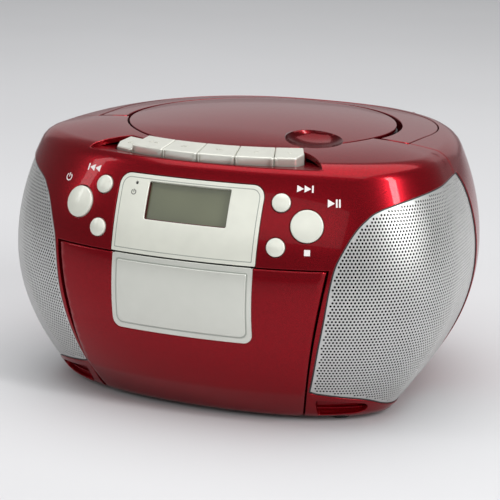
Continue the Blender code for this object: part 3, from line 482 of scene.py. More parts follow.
def patch(name, surface, border, holes, mat, radius, depth, spacing, steps=3, floor_z=None):
    """A solid panel on a surface map; border and holes are the finished edges."""
    holes = [grow(h, radius) for h in holes]
    q, faces = triangulate(grow(border, -radius), holes, spacing)
    top = surface(q)
    normals = surface_normals(surface, q)
    return skinned(name, thicken(top, normals, faces, radius, depth, steps, floor_z), mat)


# --------------------------------------------------------------- materials
def shader(name, color, rough, metal=0.0, coat=0.0, coat_rough=0.03, specular=0.5):
    """A Principled material, its node tree and its shader."""
    mat = bpy.data.materials.new(name)
    mat.use_nodes = True
    bsdf = mat.node_tree.nodes["Principled BSDF"]
    bsdf.inputs["Base Color"].default_value = (*color, 1)
    bsdf.inputs["Roughness"].default_value = rough
    bsdf.inputs["Metallic"].default_value = metal
    bsdf.inputs["Coat Weight"].default_value = coat
    bsdf.inputs["Coat Roughness"].default_value = coat_rough
    bsdf.inputs["Specular IOR Level"].default_value = specular
    return mat, mat.node_tree, bsdf


def noise(tree, scale, detail=3.0, rough=0.55, stretch=None):
    """Noise over object coordinates, stretched along an axis if asked."""
    coords = tree.nodes.new("ShaderNodeTexCoord")
    tex = tree.nodes.new("ShaderNodeTexNoise")
    tex.inputs["Scale"].default_value = scale
    tex.inputs["Detail"].default_value = detail
    tex.inputs["Roughness"].default_value = rough
    source = coords.outputs["Object"]
    if stretch is not None:
        mapping = tree.nodes.new("ShaderNodeMapping")
        mapping.inputs["Scale"].default_value = stretch
        tree.links.new(source, mapping.inputs["Vector"])
        source = mapping.outputs["Vector"]
    tree.links.new(source, tex.inputs["Vector"])
    return tex.outputs["Fac"]


def ramp(tree, value, low, high, ends=(0.3, 0.7)):
    """Colour from low to high over a value, changing between the ends."""
    node = tree.nodes.new("ShaderNodeValToRGB")
    for element, at, color in zip(node.color_ramp.elements, ends, (low, high)):
        element.position = at
        element.color = (*color, 1)
    tree.links.new(value, node.inputs["Fac"])
    return node.outputs["Color"]


def wire(tree, bsdf, color, value, low, high):
    """Base colour from a socket, roughness from low to high over a value."""
    node = tree.nodes.new("ShaderNodeMapRange")
    node.inputs["To Min"].default_value = low
    node.inputs["To Max"].default_value = high
    tree.links.new(value, node.inputs["Value"])
    tree.links.new(node.outputs["Result"], bsdf.inputs["Roughness"])
    tree.links.new(color, bsdf.inputs["Base Color"])


def bump(tree, bsdf, value, strength, distance):
    """Fine relief from a value."""
    node = tree.nodes.new("ShaderNodeBump")
    node.inputs["Strength"].default_value = strength
    node.inputs["Distance"].default_value = distance
    tree.links.new(value, node.inputs["Height"])
    tree.links.new(node.outputs["Normal"], bsdf.inputs["Normal"])


def tint(color, factor):
    """Lighter or darker tone of a colour."""
    return tuple(min(1.0, c * factor) for c in color)


def plain_finish(name, color, rough, metal=0.0, coat=0.0, scale=400.0, amount=0.08, grain=0.15, **more):
    """Moulded or plated finish: slight tone and roughness variation and a fine grain."""
    mat, tree, bsdf = shader(name, color, rough, metal, coat, **more)
    fine = noise(tree, scale)
    broad = noise(tree, scale * 0.06, 2.0)
    tone = ramp(tree, broad, tint(color, 1 - amount), tint(color, 1 + amount))
    wire(tree, bsdf, tone, fine, rough * 0.85, rough * 1.15)
    if grain:
        bump(tree, bsdf, fine, grain, 0.00002)
    return mat


def candy_red(name, color, deep, rough=0.24):
    """Metallic red lacquer: flake sparkle under a clear coat."""
    mat, tree, bsdf = shader(name, color, rough, 0.75, 0.24, 0.02, 0.2)
    flake = noise(tree, 2600.0, 1.0)
    broad = noise(tree, 14.0, 2.0)
    mixed = tree.nodes.new("ShaderNodeMix")
    mixed.data_type = "RGBA"
    dark, light = mixed.inputs[6], mixed.inputs[7]      # its two colour sockets
    edge = (0.35, 0.65)
    tree.links.new(broad, mixed.inputs["Factor"])
    tree.links.new(ramp(tree, flake, deep, color, edge), dark)
    tree.links.new(ramp(tree, flake, tint(deep, 1.25), tint(color, 1.1), edge), light)
    wire(tree, bsdf, mixed.outputs[2], flake, rough * 0.9, rough * 1.15)
    return mat


def brushed(name, color, rough, stretch):
    """Bare metal with lines across the stretched axis."""
    mat, tree, bsdf = shader(name, color, rough, 1.0)
    lines = noise(tree, 600.0, 3.0, 0.6, stretch)
    wire(tree, bsdf, ramp(tree, lines, tint(color, 0.82), color), lines, rough * 0.75, rough * 1.25)
    bump(tree, bsdf, lines, 0.2, 0.00003)
    return mat


def board_finish():
    """Green board with the relief of its tracks."""
    mat, tree, bsdf = shader("green_board", (0.02, 0.12, 0.045), 0.35, 0.0, 0.3)
    tracks = noise(tree, 160.0, 0.0, 0.3, (1.0, 0.2, 4.0))
    color = ramp(tree, tracks, (0.012, 0.08, 0.03), (0.04, 0.19, 0.07), (0.47, 0.53))
    tree.links.new(color, bsdf.inputs["Base Color"])
    bump(tree, bsdf, tracks, 0.3, 0.00005)
    return mat


def display_finish():
    """Unlit display: grey-green with slightly uneven tone."""
    mat, tree, bsdf = shader("display_glass", (0.12, 0.13, 0.075), 0.16, 0.0, 0.3, 0.05)
    broad = noise(tree, 25.0, 1.0)
    color = ramp(tree, broad, (0.105, 0.115, 0.066), (0.135, 0.145, 0.085))
    tree.links.new(color, bsdf.inputs["Base Color"])
    return mat


PAINT = dict(scale=1400.0, amount=0.03, grain=0.1)
SHEET = dict(scale=900.0, amount=0.04, grain=0.1)
SMOOTH = dict(scale=1200.0, amount=0.02, grain=0.05)
RED = candy_red("candy_red", (0.29, 0.0008, 0.008), (0.145, 0.0004, 0.003))
# Darker copy of the candy red for the finger dish: painted shade in the hollow.
SHADED_DISH_RED = candy_red("dish_red_painted_shade", (0.12, 0.0004, 0.003), (0.07, 0.0002, 0.0015))
# Dark red gloss: the display surround's own colour, and painted shade on the pocket's front walls.
DARK_RED_AND_SHADE = plain_finish("dark_red_and_painted_shade", (0.07, 0.001, 0.003), 0.28, 0.2, 0.5)
PEARL = plain_finish("pearl_paint", (0.75, 0.76, 0.67), 0.34, 0.2, 0.35, **PAINT)
SILVER = plain_finish("silver_key_paint", (0.66, 0.66, 0.59), 0.30, 0.35, 0.3, **PAINT)
PLATE = plain_finish("window_plate", (0.66, 0.67, 0.61), 0.22, 0.3, 0.8, **SMOOTH)
GRILLE = plain_finish("grille_sheet", (0.58, 0.58, 0.57), 0.36, 0.6, 0.0, **SHEET)
CLOTH = plain_finish("speaker_cloth", (0.006, 0.006, 0.007), 0.95, scale=1500.0, grain=0.4, specular=0.1)
BLACK = plain_finish("black_moulding", (0.018, 0.018, 0.020), 0.48, scale=900.0, grain=0.3)
GLOSS_BLACK = plain_finish("black_gloss", (0.008, 0.008, 0.009), 0.12, coat=0.5, grain=0.0)
WHITE_PRINT = plain_finish("white_print", (0.80, 0.78, 0.76), 0.5, grain=0.1)
# Grey ring round the raised window and the bezel: partly the clear rim's own grey, partly a painted shadow
# line at the groove.
CLEAR_RIM_AND_SHADE_GREY = plain_finish("clear_rim_and_shade_line", (0.34, 0.36, 0.32), 0.15, coat=0.8, grain=0.0)
GREY_PRINT = plain_finish("grey_print", (0.10, 0.10, 0.09), 0.5, grain=0.1)
STEEL = brushed("plated_steel", (0.55, 0.56, 0.58), 0.30, (1.0, 1.0, 14.0))
BRASS = brushed("turned_brass", (0.66, 0.47, 0.18), 0.28, (1.0, 10.0, 1.0))
FERRITE = plain_finish("ferrite", (0.045, 0.045, 0.05), 0.7, scale=700.0, grain=0.5)
PAPER = plain_finish("cone_paper", (0.035, 0.034, 0.036), 0.9, scale=500.0, amount=0.25, grain=0.8)
RUBBER = plain_finish("rubber", (0.02, 0.02, 0.02), 0.75, scale=700.0, grain=0.4)
BOARD = board_finish()
DISPLAY = display_finish()


def slotted(obj, body, slot, *replaced):
    """Ride a body and stand for CAD nodes; the slot is not used."""
    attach(obj, body)
    if replaced:
        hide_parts(*replaced)
    return obj


# ---------------------------------------------------------------- outlines
GRILLE_POINTS = [
    (-22.8, 26.6), (-23.9, 45.0), (-23.6, 62.0), (-20.9, 87.0), (-17.0, 104.0),
    (-12.0, 114.0), (-4.0, 125.5), (4.0, 133.0), (14.0, 138.5), (40.0, 144.5),
    (66.0, 148.0), (80.0, 149.3), (84.4, 149.0), (87.2, 146.2), (92.6, 139.6), (98.2, 128.0),
    (103.5, 110.0), (105.0, 92.0), (102.0, 69.0), (95.0, 45.0), (88.0, 29.0), (79.0, 15.5),
    (62.0, 9.0), (46.0, 8.0), (34.0, 9.4), (25.9, 11.6), (19.0, 14.4), (11.6, 16.7), (4.0, 18.1),
    (-3.8, 19.3), (-12.0, 20.6), (-19.4, 22.0), (-22.6, 23.4),
]


def grille_loop(side, distance=0.0):
    """Grille outline in (girth, height); side 1 is the right."""
    loop = grow(smooth_loop(GRILLE_POINTS[::-1], 2.5), distance)
    r = math.sqrt(0.5)
    return mirrored(from_side(loop, (r, r), -60.0, 330.0), side)


DOOR_ROWS = 34


def door_half(z):
    """Half width of the cassette door at a height."""
    return 67.6 + 0.283 * z - 0.00069 * z * z


def door_loop(distance=0.0, low=EDGE_W + 2.5):
    """Outline of the cassette door in (girth, height)."""
    heights = np.linspace(low, SEAM_Z - 0.5 + distance, DOOR_ROWS)
    right = from_front([(door_half(z) + distance, max(z, LOW_W)) for z in heights])
    right[:, 1] = heights
    across = np.linspace(1, -1, 60)[1:-1]
    upper = rows(across * right[-1, 0], heights[-1])
    lower = rows(-across * right[0, 0], heights[0])
    return np.concatenate([right, upper, right[::-1] * [-1, 1], lower])


def to_plan(points):
    """(girth, height) of plan points anywhere on the top or shoulder."""
    target = np.asarray(points, float)
    q = from_above(target)
    h = 0.05
    for _ in range(12):
        here = case_point(q)[:, :2]
        du = (case_point(q + [h, 0])[:, :2] - here) / h
        dv = (case_point(q + [0, h])[:, :2] - here) / h
        det = du[:, 0] * dv[:, 1] - du[:, 1] * dv[:, 0]
        det = np.where(np.abs(det) < 0.02, 0.02 * np.sign(det + 1e-9), det)
        miss = target - here
        step = np.stack([
            (miss[:, 0] * dv[:, 1] - miss[:, 1] * dv[:, 0]) / det,
            (du[:, 0] * miss[:, 1] - du[:, 1] * miss[:, 0]) / det,
        ], -1)
        q = q + np.clip(step, -4, 4)
    return q


# ------------------------------------------------------------ the two shells
SPLIT_Y = -24.5
SEAM_HALF = 0.65           # half of the gap in the joint between the shells
SHELL_FILLET = 0.45
CUT_GIRTH = -262.0         # where the unrolled case is cut open, on the left side
UNDER_W = EDGE_W - 14.0
BUTTONS = {
    "power_button": (-75.0, 129.3, 9.8),
    "play_pause_button": (75.0, 129.3, 9.8),
    "skip_back_button": (-58.2, 141.7, 5.6),
    "skip_forward_button": (58.2, 141.7, 5.6),
    "repeat_button": (-58.6, 116.6, 5.6),
    "memory_button": (58.6, 116.6, 5.6),
}
HANDLE_IN_R = 91.0
HANDLE_HALF = 109.5        # the handle's outer edge is a superellipse
HANDLE_Y = 14.0
HANDLE_DEPTH = 90.0
HANDLE_POWER = 2.3
HANDLE_TIP_X = 107.0
LEDGE_Y = 108.4
LEDGE_Z = 140.0
LEDGE_ENDS = (-66.8, 82.0)
WELL_R = LID_R + 1.2
POCKET_GAP = 0.7
POCKET_FRONT = SPLIT_Y - 2.8      # finger gap in front of the handle arms
DISH_AT = (56.2, -54.0, 171.8)
DISH_R = 19.0
DISH_DEPTH = 9.0
RECESS_Z = 160.3
RECESS_W = wall_w(RECESS_Z)
RECESS_ANGLE = 25.5
RECESS_TIP = np.array([77.0, -97.6])
RECESS_BEND = np.array([69.5, -84.5])
WHEEL_AT = (64.0, 104.0)
SWITCH_AT = (78.0, 115.0)
REAR_START = 300.0         # girth at which the back begins
SIDE_START = 60.0          # girth at which the side begins
CORNER_SLOT = [
    (77.4, 5.6), (84, 5.6), (92, 5.9), (99, 6.6), (103.6, 8.6), (105.2, 11.4), (104.0, 13.6),
    (99, 14.6), (92, 15.6), (85, 16.5), (79.6, 17.2), (78.2, 16.0), (77.4, 12.0),
]


def unroll(q):
    """Shift girths so that they follow on from the cut."""
    q = np.array(q, float)
    q[:, 0] = (q[:, 0] - CUT_GIRTH) % (2 * GIRTH_END) + CUT_GIRTH
    return q


def front_frame(x, z):
    """Layout point and outward normal of the front at x, z."""
    q = from_front([(x, z)])
    return case_point(q)[0], surface_normals(case_point, q)[0]


def handle_arc(distance, front):
    """Outer edge of the handle in plan, from its right front corner round the back."""
    t = np.linspace(0, math.pi, 90)
    c = np.cos(t)
    s = np.abs(np.sin(t))
    x = (HANDLE_HALF + distance) * np.sign(c) * np.abs(c) ** (2 / HANDLE_POWER)
    y = HANDLE_Y + (HANDLE_DEPTH + distance) * s ** (2 / HANDLE_POWER)
    arc = np.stack([x, y], -1)
    run = np.linspace(0, 1, 12)[:-1, None]
    start = np.array([HANDLE_TIP_X + distance, front])
    lead = start + (arc[0] - start) * run
    return np.concatenate([lead, arc, (lead * [-1, 1])[::-1]])


def lid_ring(radius, start, end, count):
    """Part of a circle round the lid, in plan."""
    t = np.linspace(start, end, count)
    return np.stack([radius * np.cos(t), LID_Y + radius * np.sin(t)], -1)


def top_edge():
    """Edge of the case round the lid well and the handle pocket, in plan."""
    pocket = handle_arc(POCKET_GAP, POCKET_FRONT)
    drop = math.asin((POCKET_FRONT - LID_Y) / WELL_R)
    arc = lid_ring(WELL_R, math.pi - drop, 2 * math.pi + drop, 110)
    bridge = np.linspace(0, 1, 12)[1:-1, None]
    to_arc = pocket[-1] + (arc[0] - pocket[-1]) * bridge
    to_pocket = arc[-1] + (pocket[0] - arc[-1]) * bridge
    return np.concatenate([pocket, to_arc, arc, to_pocket])


def bowl_z(points):
    """Height of the finger dish over plan points."""
    p = np.asarray(points, float)
    r2 = (p[:, 0] - DISH_AT[0]) ** 2 + (p[:, 1] - DISH_AT[1]) ** 2
    return DISH_AT[2] - DISH_DEPTH * np.sqrt(np.maximum(0.0, 1 - r2 / DISH_R ** 2))


def lid_z(points):
    """Height of the lid's dome over plan points."""
    p = np.asarray(points, float)
    r2 = (p[:, 0] ** 2 + (p[:, 1] - LID_Y) ** 2) / LID_R ** 2
    return crown_z(p) + LID_RISE * np.maximum(0, 1 - r2)


def dish_rim(count=64):
    """Plan outline where the dish meets the lid and the case."""
    t = np.linspace(0, 2 * math.pi, count, endpoint=False)
    way = np.stack([np.cos(t), np.sin(t)], -1)
    centre = np.array(DISH_AT[:2])
    low = np.zeros(count)
    high = np.full(count, DISH_R)
    for _ in range(30):
        mid = (low + high) / 2
        p = centre + way * mid[:, None]
        under = bowl_z(p) < lid_z(p)
        low = np.where(under, mid, low)
        high = np.where(under, high, mid)
    return centre + way * low[:, None]


def key_plan(radial, angle):
    """Plan points at a radius and at angles in degrees round the keys' centre."""
    a = np.radians(angle)
    return np.stack([radial * np.sin(a), KEY_ARC_Y - radial * np.cos(a)], -1)


def recess_loop():
    """Outline of the crescent round the keys, in (girth, height)."""
    back = key_plan(KEY_R_BACK - 0.8, np.linspace(RECESS_ANGLE, -RECESS_ANGLE, 50))
    s = np.linspace(0, 1, 14)[:-1, None]
    end = (1 - s) ** 2 * RECESS_TIP + 2 * s * (1 - s) * RECESS_BEND + s ** 2 * back[0]
    upper = to_plan(np.concatenate([end, back, (end * [-1, 1])[::-1]]))
    lower = rows(np.linspace(upper[-1, 0], upper[0, 0], 70)[1:-1], RECESS_W)
    upper[:, 1] = np.maximum(upper[:, 1], RECESS_W + 0.02)
    return ccw(np.concatenate([upper, lower]))


def seam_line(side, offset):
    """The joint between the shells as a line of (girth, height)."""
    out = []
    run = np.linspace(40.0, 330.0, 900)
    for w in np.linspace(UNDER_W - 1, CROWN_W + 45.0, 110):
        y = case_point(rows(run, w))[:, 1]
        out.append((float(np.interp(SPLIT_Y + offset, y, run)) * side, w))
    return np.array(out)


def slot_loop(side):
    """Moulded recess in the corner foot under a grille."""
    return mirrored(from_front(smooth_loop(CORNER_SLOT, 1.2, 0.35)), side)


def in_millimetres(centre, shape):
    """(girth, height) of a small flat shape, square to the surface at a centre."""
    h = 0.1
    here, along, up = case_point([centre, centre + [h, 0], centre + [0, h]])
    return centre + shape / [np.linalg.norm(along - here) / h, np.linalg.norm(up - here) / h]


def button_hole(x, z, r):
    """Round hole in the front, in (girth, height)."""
    return in_millimetres(from_front([(x, z)])[0], circle(0, 0, r, 36))


def rear_rect(x0, x1, z0, z1, radius, steps=3):
    """Rounded rectangle on the back, in (girth, height)."""
    p = dense(round_rect(x0, x1, z0, z1, radius, steps), 2.0) * [-1, 1]
    return ccw(from_side(p, (-1, 0), REAR_START, 2 * GIRTH_END - REAR_START))


def side_rect(side, at, half, radius, end=330.0):
    """Rounded rectangle round (y, z) on a side of the case, in (girth, height)."""
    (y, z), (half_y, half_z) = at, half
    p = dense(round_rect(y - half_y, y + half_y, z - half_z, z + half_z, radius, 3), 2.0)
    return mirrored(from_side(p, (0, 1), SIDE_START, end), side)


def rear_openings():
    """Battery bay, inlet and vents."""
    holes = [rear_rect(-54.4, 54.4, 49.6, 98.4, 1), rear_rect(35.7, 60.3, 107.7, 128.3, 1)]
    for k in range(6):
        x = -64.0 + 9.0 * k
        holes.append(rear_rect(x, x + 3.0, 108.0, 130.0, 1.4, 4))
    return holes


def shell_openings():
    """Every opening of the case in (girth, height)."""
    holes = []
    for side in SIDES.values():
        holes += [grille_loop(side), slot_loop(side)]
    holes.append(door_loop(0.6, UNDER_W - 4.0))
    holes.append(front_rect(-47.9, 47.9, SEAM_Z - 1.0, 151.0, (0.2, 0.2, 7.6, 7.6), 1.5))
    holes += [button_hole(x, z, r + 0.4) for x, z, r in BUTTONS.values()]
    holes += [recess_loop(), ccw(to_plan(dish_rim()))]
    holes += rear_openings()
    holes += [side_rect(side, WHEEL_AT, (9.4, 4.2), 1) for side in SIDES.values()]
    holes.append(side_rect(-1, SWITCH_AT, (7.6, 3.2), 0.6, 360.0))
    return holes


def antenna_ledge():
    """Open ledge along the rear top edge that the antenna lies in."""
    ends = from_side([(x, LEDGE_Z) for x in LEDGE_ENDS], (-1, 0), REAR_START, 2 * GIRTH_END - 260.0)
    heights = np.linspace(LEDGE_Z, 200.0, 400)
    upper = []
    for run in np.linspace(ends[0, 0], ends[1, 0], 70):
        y = case_point(np.stack([np.full(400, run), heights], -1))[:, 1]
        if y[0] > LEDGE_Y:
            upper.append((run, float(np.interp(-LEDGE_Y, -y, heights))))
    upper = np.array(upper)
    lower = rows(upper[:, 0], LEDGE_Z)
    side = np.linspace(lower[0], upper[0], 12)[1:-1]
    return ccw(np.concatenate([lower[::-1], side, upper[:-1]]))


def shell_border():
    """Outer edge of the unrolled case."""
    edge = unroll(to_plan(top_edge()))
    edge = edge[np.argsort(edge[:, 0])]
    left, right = CUT_GIRTH, CUT_GIRTH + 2 * GIRTH_END
    end_w = np.interp(right, [edge[-1, 0], edge[0, 0] + 2 * GIRTH_END], [edge[-1, 1], edge[0, 1]])
    side_w = np.linspace(UNDER_W, end_w, 52)[1:-1]
    return np.concatenate([
        rows(np.linspace(left, right, 300), UNDER_W),
        np.stack([np.full(50, right), side_w], -1),
        [(right, end_w - SHELL_FILLET)], (edge - [0, SHELL_FILLET])[::-1],
        [(left, end_w - SHELL_FILLET)], np.stack([np.full(50, left), side_w], -1)[::-1],
    ])


def joined_ends(q, faces):
    """The unrolled case closed again where it was cut."""
    q[np.isclose(q[:, 0], CUT_GIRTH + 2 * GIRTH_END), 0] = CUT_GIRTH
    q, merged = np.unique(np.round(q, 5), axis=0, return_inverse=True)
    return q, merged.reshape(-1)[faces]


def build_shells():
    """The front and rear shells, split along the joint line."""
    holes = [grow(unroll(h), SHELL_FILLET) for h in shell_openings()]
    holes.append(grow(antenna_ledge(), SHELL_FILLET))
    gap = (-SEAM_HALF, SEAM_HALF)
    lines = [unroll(seam_line(side, offset)) for side in SIDES.values() for offset in gap]
    q, faces = joined_ends(*triangulate(shell_border(), holes, 3.6, lines=lines))
    top = case_point(q)
    normals = surface_normals(case_point, q)
    middle = top[faces].mean(1)[:, 1]
    for label, keep in (("front", middle < SPLIT_Y - 0.6), ("rear", middle > SPLIT_Y + 0.6)):
        used, part = np.unique(faces[keep].ravel(), return_inverse=True)
        solid = thicken(top[used], normals[used], part.reshape(-1, 3), SHELL_FILLET, 3.2)
        shell = skinned(label + "_shell", solid, RED)
        slotted(shell, "case", "candy_red_plastic", label + "_cabinet")


# ------------------------------------------------------- plates and walls
WALL_FOOT = 152.0
UNDER_Z = BOTTOM_Z + 2.8


def over_plan(height):
    """Surface map over plan points, at the height a function gives."""
    return lambda q: np.column_stack([q, height(q)])


def flat(z):
    """Surface map of a level plane."""
    return over_plan(lambda q: np.full(len(q), float(z)))


def under_skin(p):
    """Just below the case top."""
    return crown_z(p) - 1.2


def lathe(name, profile, centre, axis, mat, steps):
    """Solid of revolution: profile rows are (radius, height along the axis)."""
    axis = np.array(axis, float) / np.linalg.norm(axis)
    side = np.cross(axis, [0.0, 0.0, 1.0])
    if np.linalg.norm(side) < 1e-6:
        side = np.array([1.0, 0.0, 0.0])
    side /= np.linalg.norm(side)
    other = np.cross(axis, side)
    centre = np.array(centre, float)
    points = []
    rings = []
    for r, h in profile:
        if r == 0:
            rings.append([len(points)])
            points.append(centre + axis * h)
            continue
        t = np.linspace(0, 2 * math.pi, steps, endpoint=False)
        rings.append(list(range(len(points), len(points) + steps)))
        points += [centre + axis * h + (side * math.cos(a) + other * math.sin(a)) * r for a in t]
    faces = []
    for a, b in zip(rings[:-1], rings[1:]):
        for k in range(steps):
            n = (k + 1) % steps
            if len(a) == 1:
                faces.append((a[0], b[n], b[k]))
            elif len(b) == 1:
                faces.append((a[k], a[n], b[0]))
            else:
                faces.append((a[k], a[n], b[n], b[k]))
    return add_mesh(name, points, faces, mat, sharp=35.0)


def wall(name, line, low, high, thickness, mat):
    """Upright wall along a plan line, on the left of its direction of travel."""
    p = np.asarray(line, float)
    run = np.gradient(p, axis=0)
    run /= np.linalg.norm(run, axis=1)[:, None] + 1e-9
    other = p + np.stack([-run[:, 1], run[:, 0]], -1) * thickness
    tops = high(p) if callable(high) else np.full(len(p), float(high))
    lows = np.full(len(p), float(low))
    corners = ((p, lows), (other, lows), (other, tops), (p, tops))
    points = np.concatenate([np.column_stack(pair) for pair in corners])
    n = len(p)
    faces = []
    for k in range(n - 1):
        for a, b in ((0, 1), (1, 2), (2, 3), (3, 0)):
            faces.append((k + a * n, k + b * n, k + 1 + b * n, k + 1 + a * n))
    faces += [(0, 3 * n, 2 * n, n), (n - 1, 2 * n - 1, 3 * n - 1, 4 * n - 1)]
    obj = add_mesh(name, points, faces, mat)
    fix_winding(obj)
    return obj


def fix_winding(obj):
    """Turn every face outwards."""
    bm = bmesh.new()
    bm.from_mesh(obj.data)
    bmesh.ops.recalc_face_normals(bm, faces=bm.faces)
    bm.to_mesh(obj.data)
    bm.free()


def build_underside():
    """Bottom plate, open round the feet."""
    run = np.linspace(-GIRTH_END, GIRTH_END, 240, endpoint=False)
    outline = case_point(rows(run, EDGE_W - 2.0))[:, :2]
    feet = [circle(x * side, y, 7.2, 32) for x, y in ((84.0, -74.0), (62.0, 66.0)) for side in (-1, 1)]
    under = patch("under_plate", flat(UNDER_Z), ccw(outline), feet, RED, 0.2, 2.4, 12.0, 1)
    slotted(under, "case", "candy_red_plastic", "rear_cabinet")


def build_pocket():
    """Floor and walls of the pocket that the handle lies in; the black floor and the dark red front walls
    are painted shade.
    """
    outer = ccw(handle_arc(2.4, POCKET_FRONT - 1.6))
    deck = [circle(0, LID_Y, 85.0, 120)]
    # The floor is painted black as painted shade in the gap round the handle and lid.
    floor = patch("pocket_floor", flat(153.4), outer, deck, BLACK, 0.1, 2.0, 7.0, 1)
    slotted(floor, "case", "black_plastic", "rear_cabinet")
    front = POCKET_FRONT - 0.5
    line = handle_arc(POCKET_GAP + 0.05, front)
    pocket = wall("pocket_wall", line[::-1], WALL_FOOT, under_skin, 1.6, RED)
    slotted(pocket, "case", "candy_red_plastic", "rear_cabinet")
    inner_x = math.sqrt(WELL_R ** 2 - (POCKET_FRONT - LID_Y) ** 2)
    for label, side in SIDES.items():
        across = np.linspace(side * inner_x, side * (HANDLE_TIP_X + POCKET_GAP), 12)
        line = rows(across, front)[::-side]
        # Front walls of the finger gap: red plastic given the dark red as painted shade.
        face = wall(label + "_pocket_front", line, WALL_FOOT, under_skin, 1.4, DARK_RED_AND_SHADE)
        slotted(face, "case", "candy_red_plastic", "front_cabinet")


def build_key_recess():
    """Level floor at the tips and in front of the keys, a wall behind and a lip before them."""
    ahead = np.linspace(23.9, -23.9, 60)
    behind = np.linspace(-25.9, 25.9, 60)
    keys = np.concatenate([
        key_plan(150.5, ahead), key_plan(143.8, behind[:1]),
        key_plan(133.0, behind), key_plan(143.8, behind[-1:]),
    ])
    plan = grow(ccw(case_point(recess_loop())[:, :2]), 0.9)
    floor = patch("key_recess_floor", flat(RECESS_Z - 0.25), plan, [ccw(keys)], RED, 0.05, 1.6, 3.0, 1)
    slotted(floor, "case", "candy_red_plastic", "front_cabinet")
    back = key_plan(133.15, np.linspace(-26.2, 26.2, 70))
    rear = wall("key_recess_wall", back, WALL_FOOT, under_skin, 1.4, RED)
    slotted(rear, "case", "candy_red_plastic", "front_cabinet")
    front = key_plan(150.45, np.linspace(26.0, -26.0, 70))
    lip = wall("key_recess_lip", front, 151.0, RECESS_Z - 0.5, 1.2, BLACK)
    slotted(lip, "case", "black_plastic", "front_cabinet")


def build_dish():
    """Finger dish bowl across the edge of the lid, in a darker red that is painted shade."""
    rim = grow(ccw(dish_rim(72)), 0.15)
    bowl = patch("finger_dish", over_plan(bowl_z), rim, [], SHADED_DISH_RED, 0.05, 1.8, 1.6, 1)
    slotted(bowl, "case", "candy_red_plastic", "front_cabinet")


def build_foot_slots():
    """Stepped floor inside the recess in each front corner."""
    for label, side in SIDES.items():
        for level, (inset, low, high) in enumerate(((5.0, 9.6, 19.5), (3.4, 3.2, 10.0))):
            q = from_front(dense([(73.0, low), (110.0, low), (110.0, high), (73.0, high)], 2.0))
            name = "%s_corner_step_%d" % (label, level)
            step = patch(name, sunk(inset), mirrored(q, side), [], RED, 0.4, 1.2, 4.0, 2)
            slotted(step, "case", "candy_red_plastic", "front_cabinet")


def build_ledge():
    """Floor, back and end of the antenna ledge."""
    run = np.linspace(REAR_START, 2 * GIRTH_END - 230.0, 300)
    edge = case_point(rows(run, LEDGE_Z), 1.0)
    edge = edge[(edge[:, 1] > 107.0) & (edge[:, 0] < 67.5)][:, :2]
    plan = ccw(np.concatenate([edge, [(edge[-1, 0], 106.6), (edge[0, 0], 106.6)]]))
    floor = patch("antenna_ledge_floor", flat(LEDGE_Z), plan, [], RED, 0.05, 2.0, 6.0, 1)
    slotted(floor, "case", "candy_red_plastic", "rear_cabinet")
    rim = case_point(antenna_ledge())
    rim = rim[(rim[:, 1] < LEDGE_Y + 0.2) & (rim[:, 2] > LEDGE_Z + 1.0)]
    rim = rim[np.argsort(-rim[:, 0])]

    def ledge_top(p):
        return np.interp(-p[:, 0], -rim[:, 0], rim[:, 2]) - 0.8

    foot = LEDGE_Z - 1.8
    back = wall("antenna_ledge_back", rows(rim[:, 0], LEDGE_Y), foot, ledge_top, -1.6, RED)
    slotted(back, "case", "candy_red_plastic", "rear_cabinet")
    line = np.array([(66.8, 112.4), (66.8, 107.4)])
    end = wall("antenna_ledge_end", line, foot, 160.0, 1.4, RED)
    slotted(end, "case", "candy_red_plastic", "rear_cabinet")


# --------------------------------------------------------------- grilles
HOLE_PITCH = 2.25
HOLE_R = 0.75
HOLE_SIDES = 8


def sheet_holes(border):
    """Centres of a staggered hole pattern inside a border."""
    out = staggered(border.min(0), border.max(0), HOLE_PITCH, HOLE_PITCH * math.sqrt(3) / 2)
    return out[inside(out, border) & ~near_loop(out, border, HOLE_R + 0.75)]


def perforated(border):
    """Triangles of a sheet with its holes left open."""
    centres = sheet_holes(border)
    t = np.linspace(0, 2 * math.pi, HOLE_SIDES, endpoint=False) + math.pi / HOLE_SIDES
    ring = np.stack([np.cos(t), np.sin(t)], -1) * HOLE_R
    points = (centres[:, None, :] + ring[None]).reshape(-1, 2)
    first = len(border)
    edges = ring_edges(0, first)
    for k in range(len(centres)):
        edges += ring_edges(first + HOLE_SIDES * k, HOLE_SIDES)
    verts = [Vector(v) for v in np.concatenate([border, points])]
    found = delaunay_2d_cdt(verts, edges, [], 0, 1e-6)
    q = np.array([tuple(v) for v in found[0]])
    origin = np.array([o[0] if o else -1 for o in found[3]])
    faces = np.array(found[2])
    owner = np.where(origin >= first, (origin - first) // HOLE_SIDES, -1)
    mine = owner[faces]
    hole = (mine[:, 0] >= 0) & (mine[:, 0] == mine[:, 1]) & (mine[:, 1] == mine[:, 2])
    return q, turned_up(q, faces[~hole & inside(q[faces].mean(1), border)])


def build_grille(label, side):
    """Perforated sheet over a black baffle, with a seal round its edge."""
    node = label + "_grille"
    q, faces = perforated(dense(grille_loop(side, -0.9), 1.6))
    surface = sunk(1.0)
    solid = thicken(surface(q), surface_normals(surface, q), faces, 0.0, 0.25, 0)
    slotted(skinned(node + "_sheet", solid, GRILLE), "case", "grille_metal", node)
    edge = grille_loop(side, -0.05)
    seal = patch(node + "_seal", sunk(0.55), edge, [grille_loop(side, -0.85)], BLACK, 0.1, 3.6, 3.0, 1)
    slotted(seal, "case", "black_plastic", node)
    cloth = patch(label + "_baffle", sunk(4.6), grille_loop(side, 1.6), [], CLOTH, 0.1, 1.0, 7.0, 1)
    slotted(cloth, "case", "black_plastic", node)


# ------------------------------------------------------- cassette door
CREASE_W = 24.0            # the door stands furthest out along this height
CREASE_OUT = 2.2
CREASE_TOP = 60.0
DOOR_EDGE = door_loop()[:DOOR_ROWS]
ROLL_WIDTH = 3.6           # the door's side edges fall away over this width
ROLL_DROP = 1.2


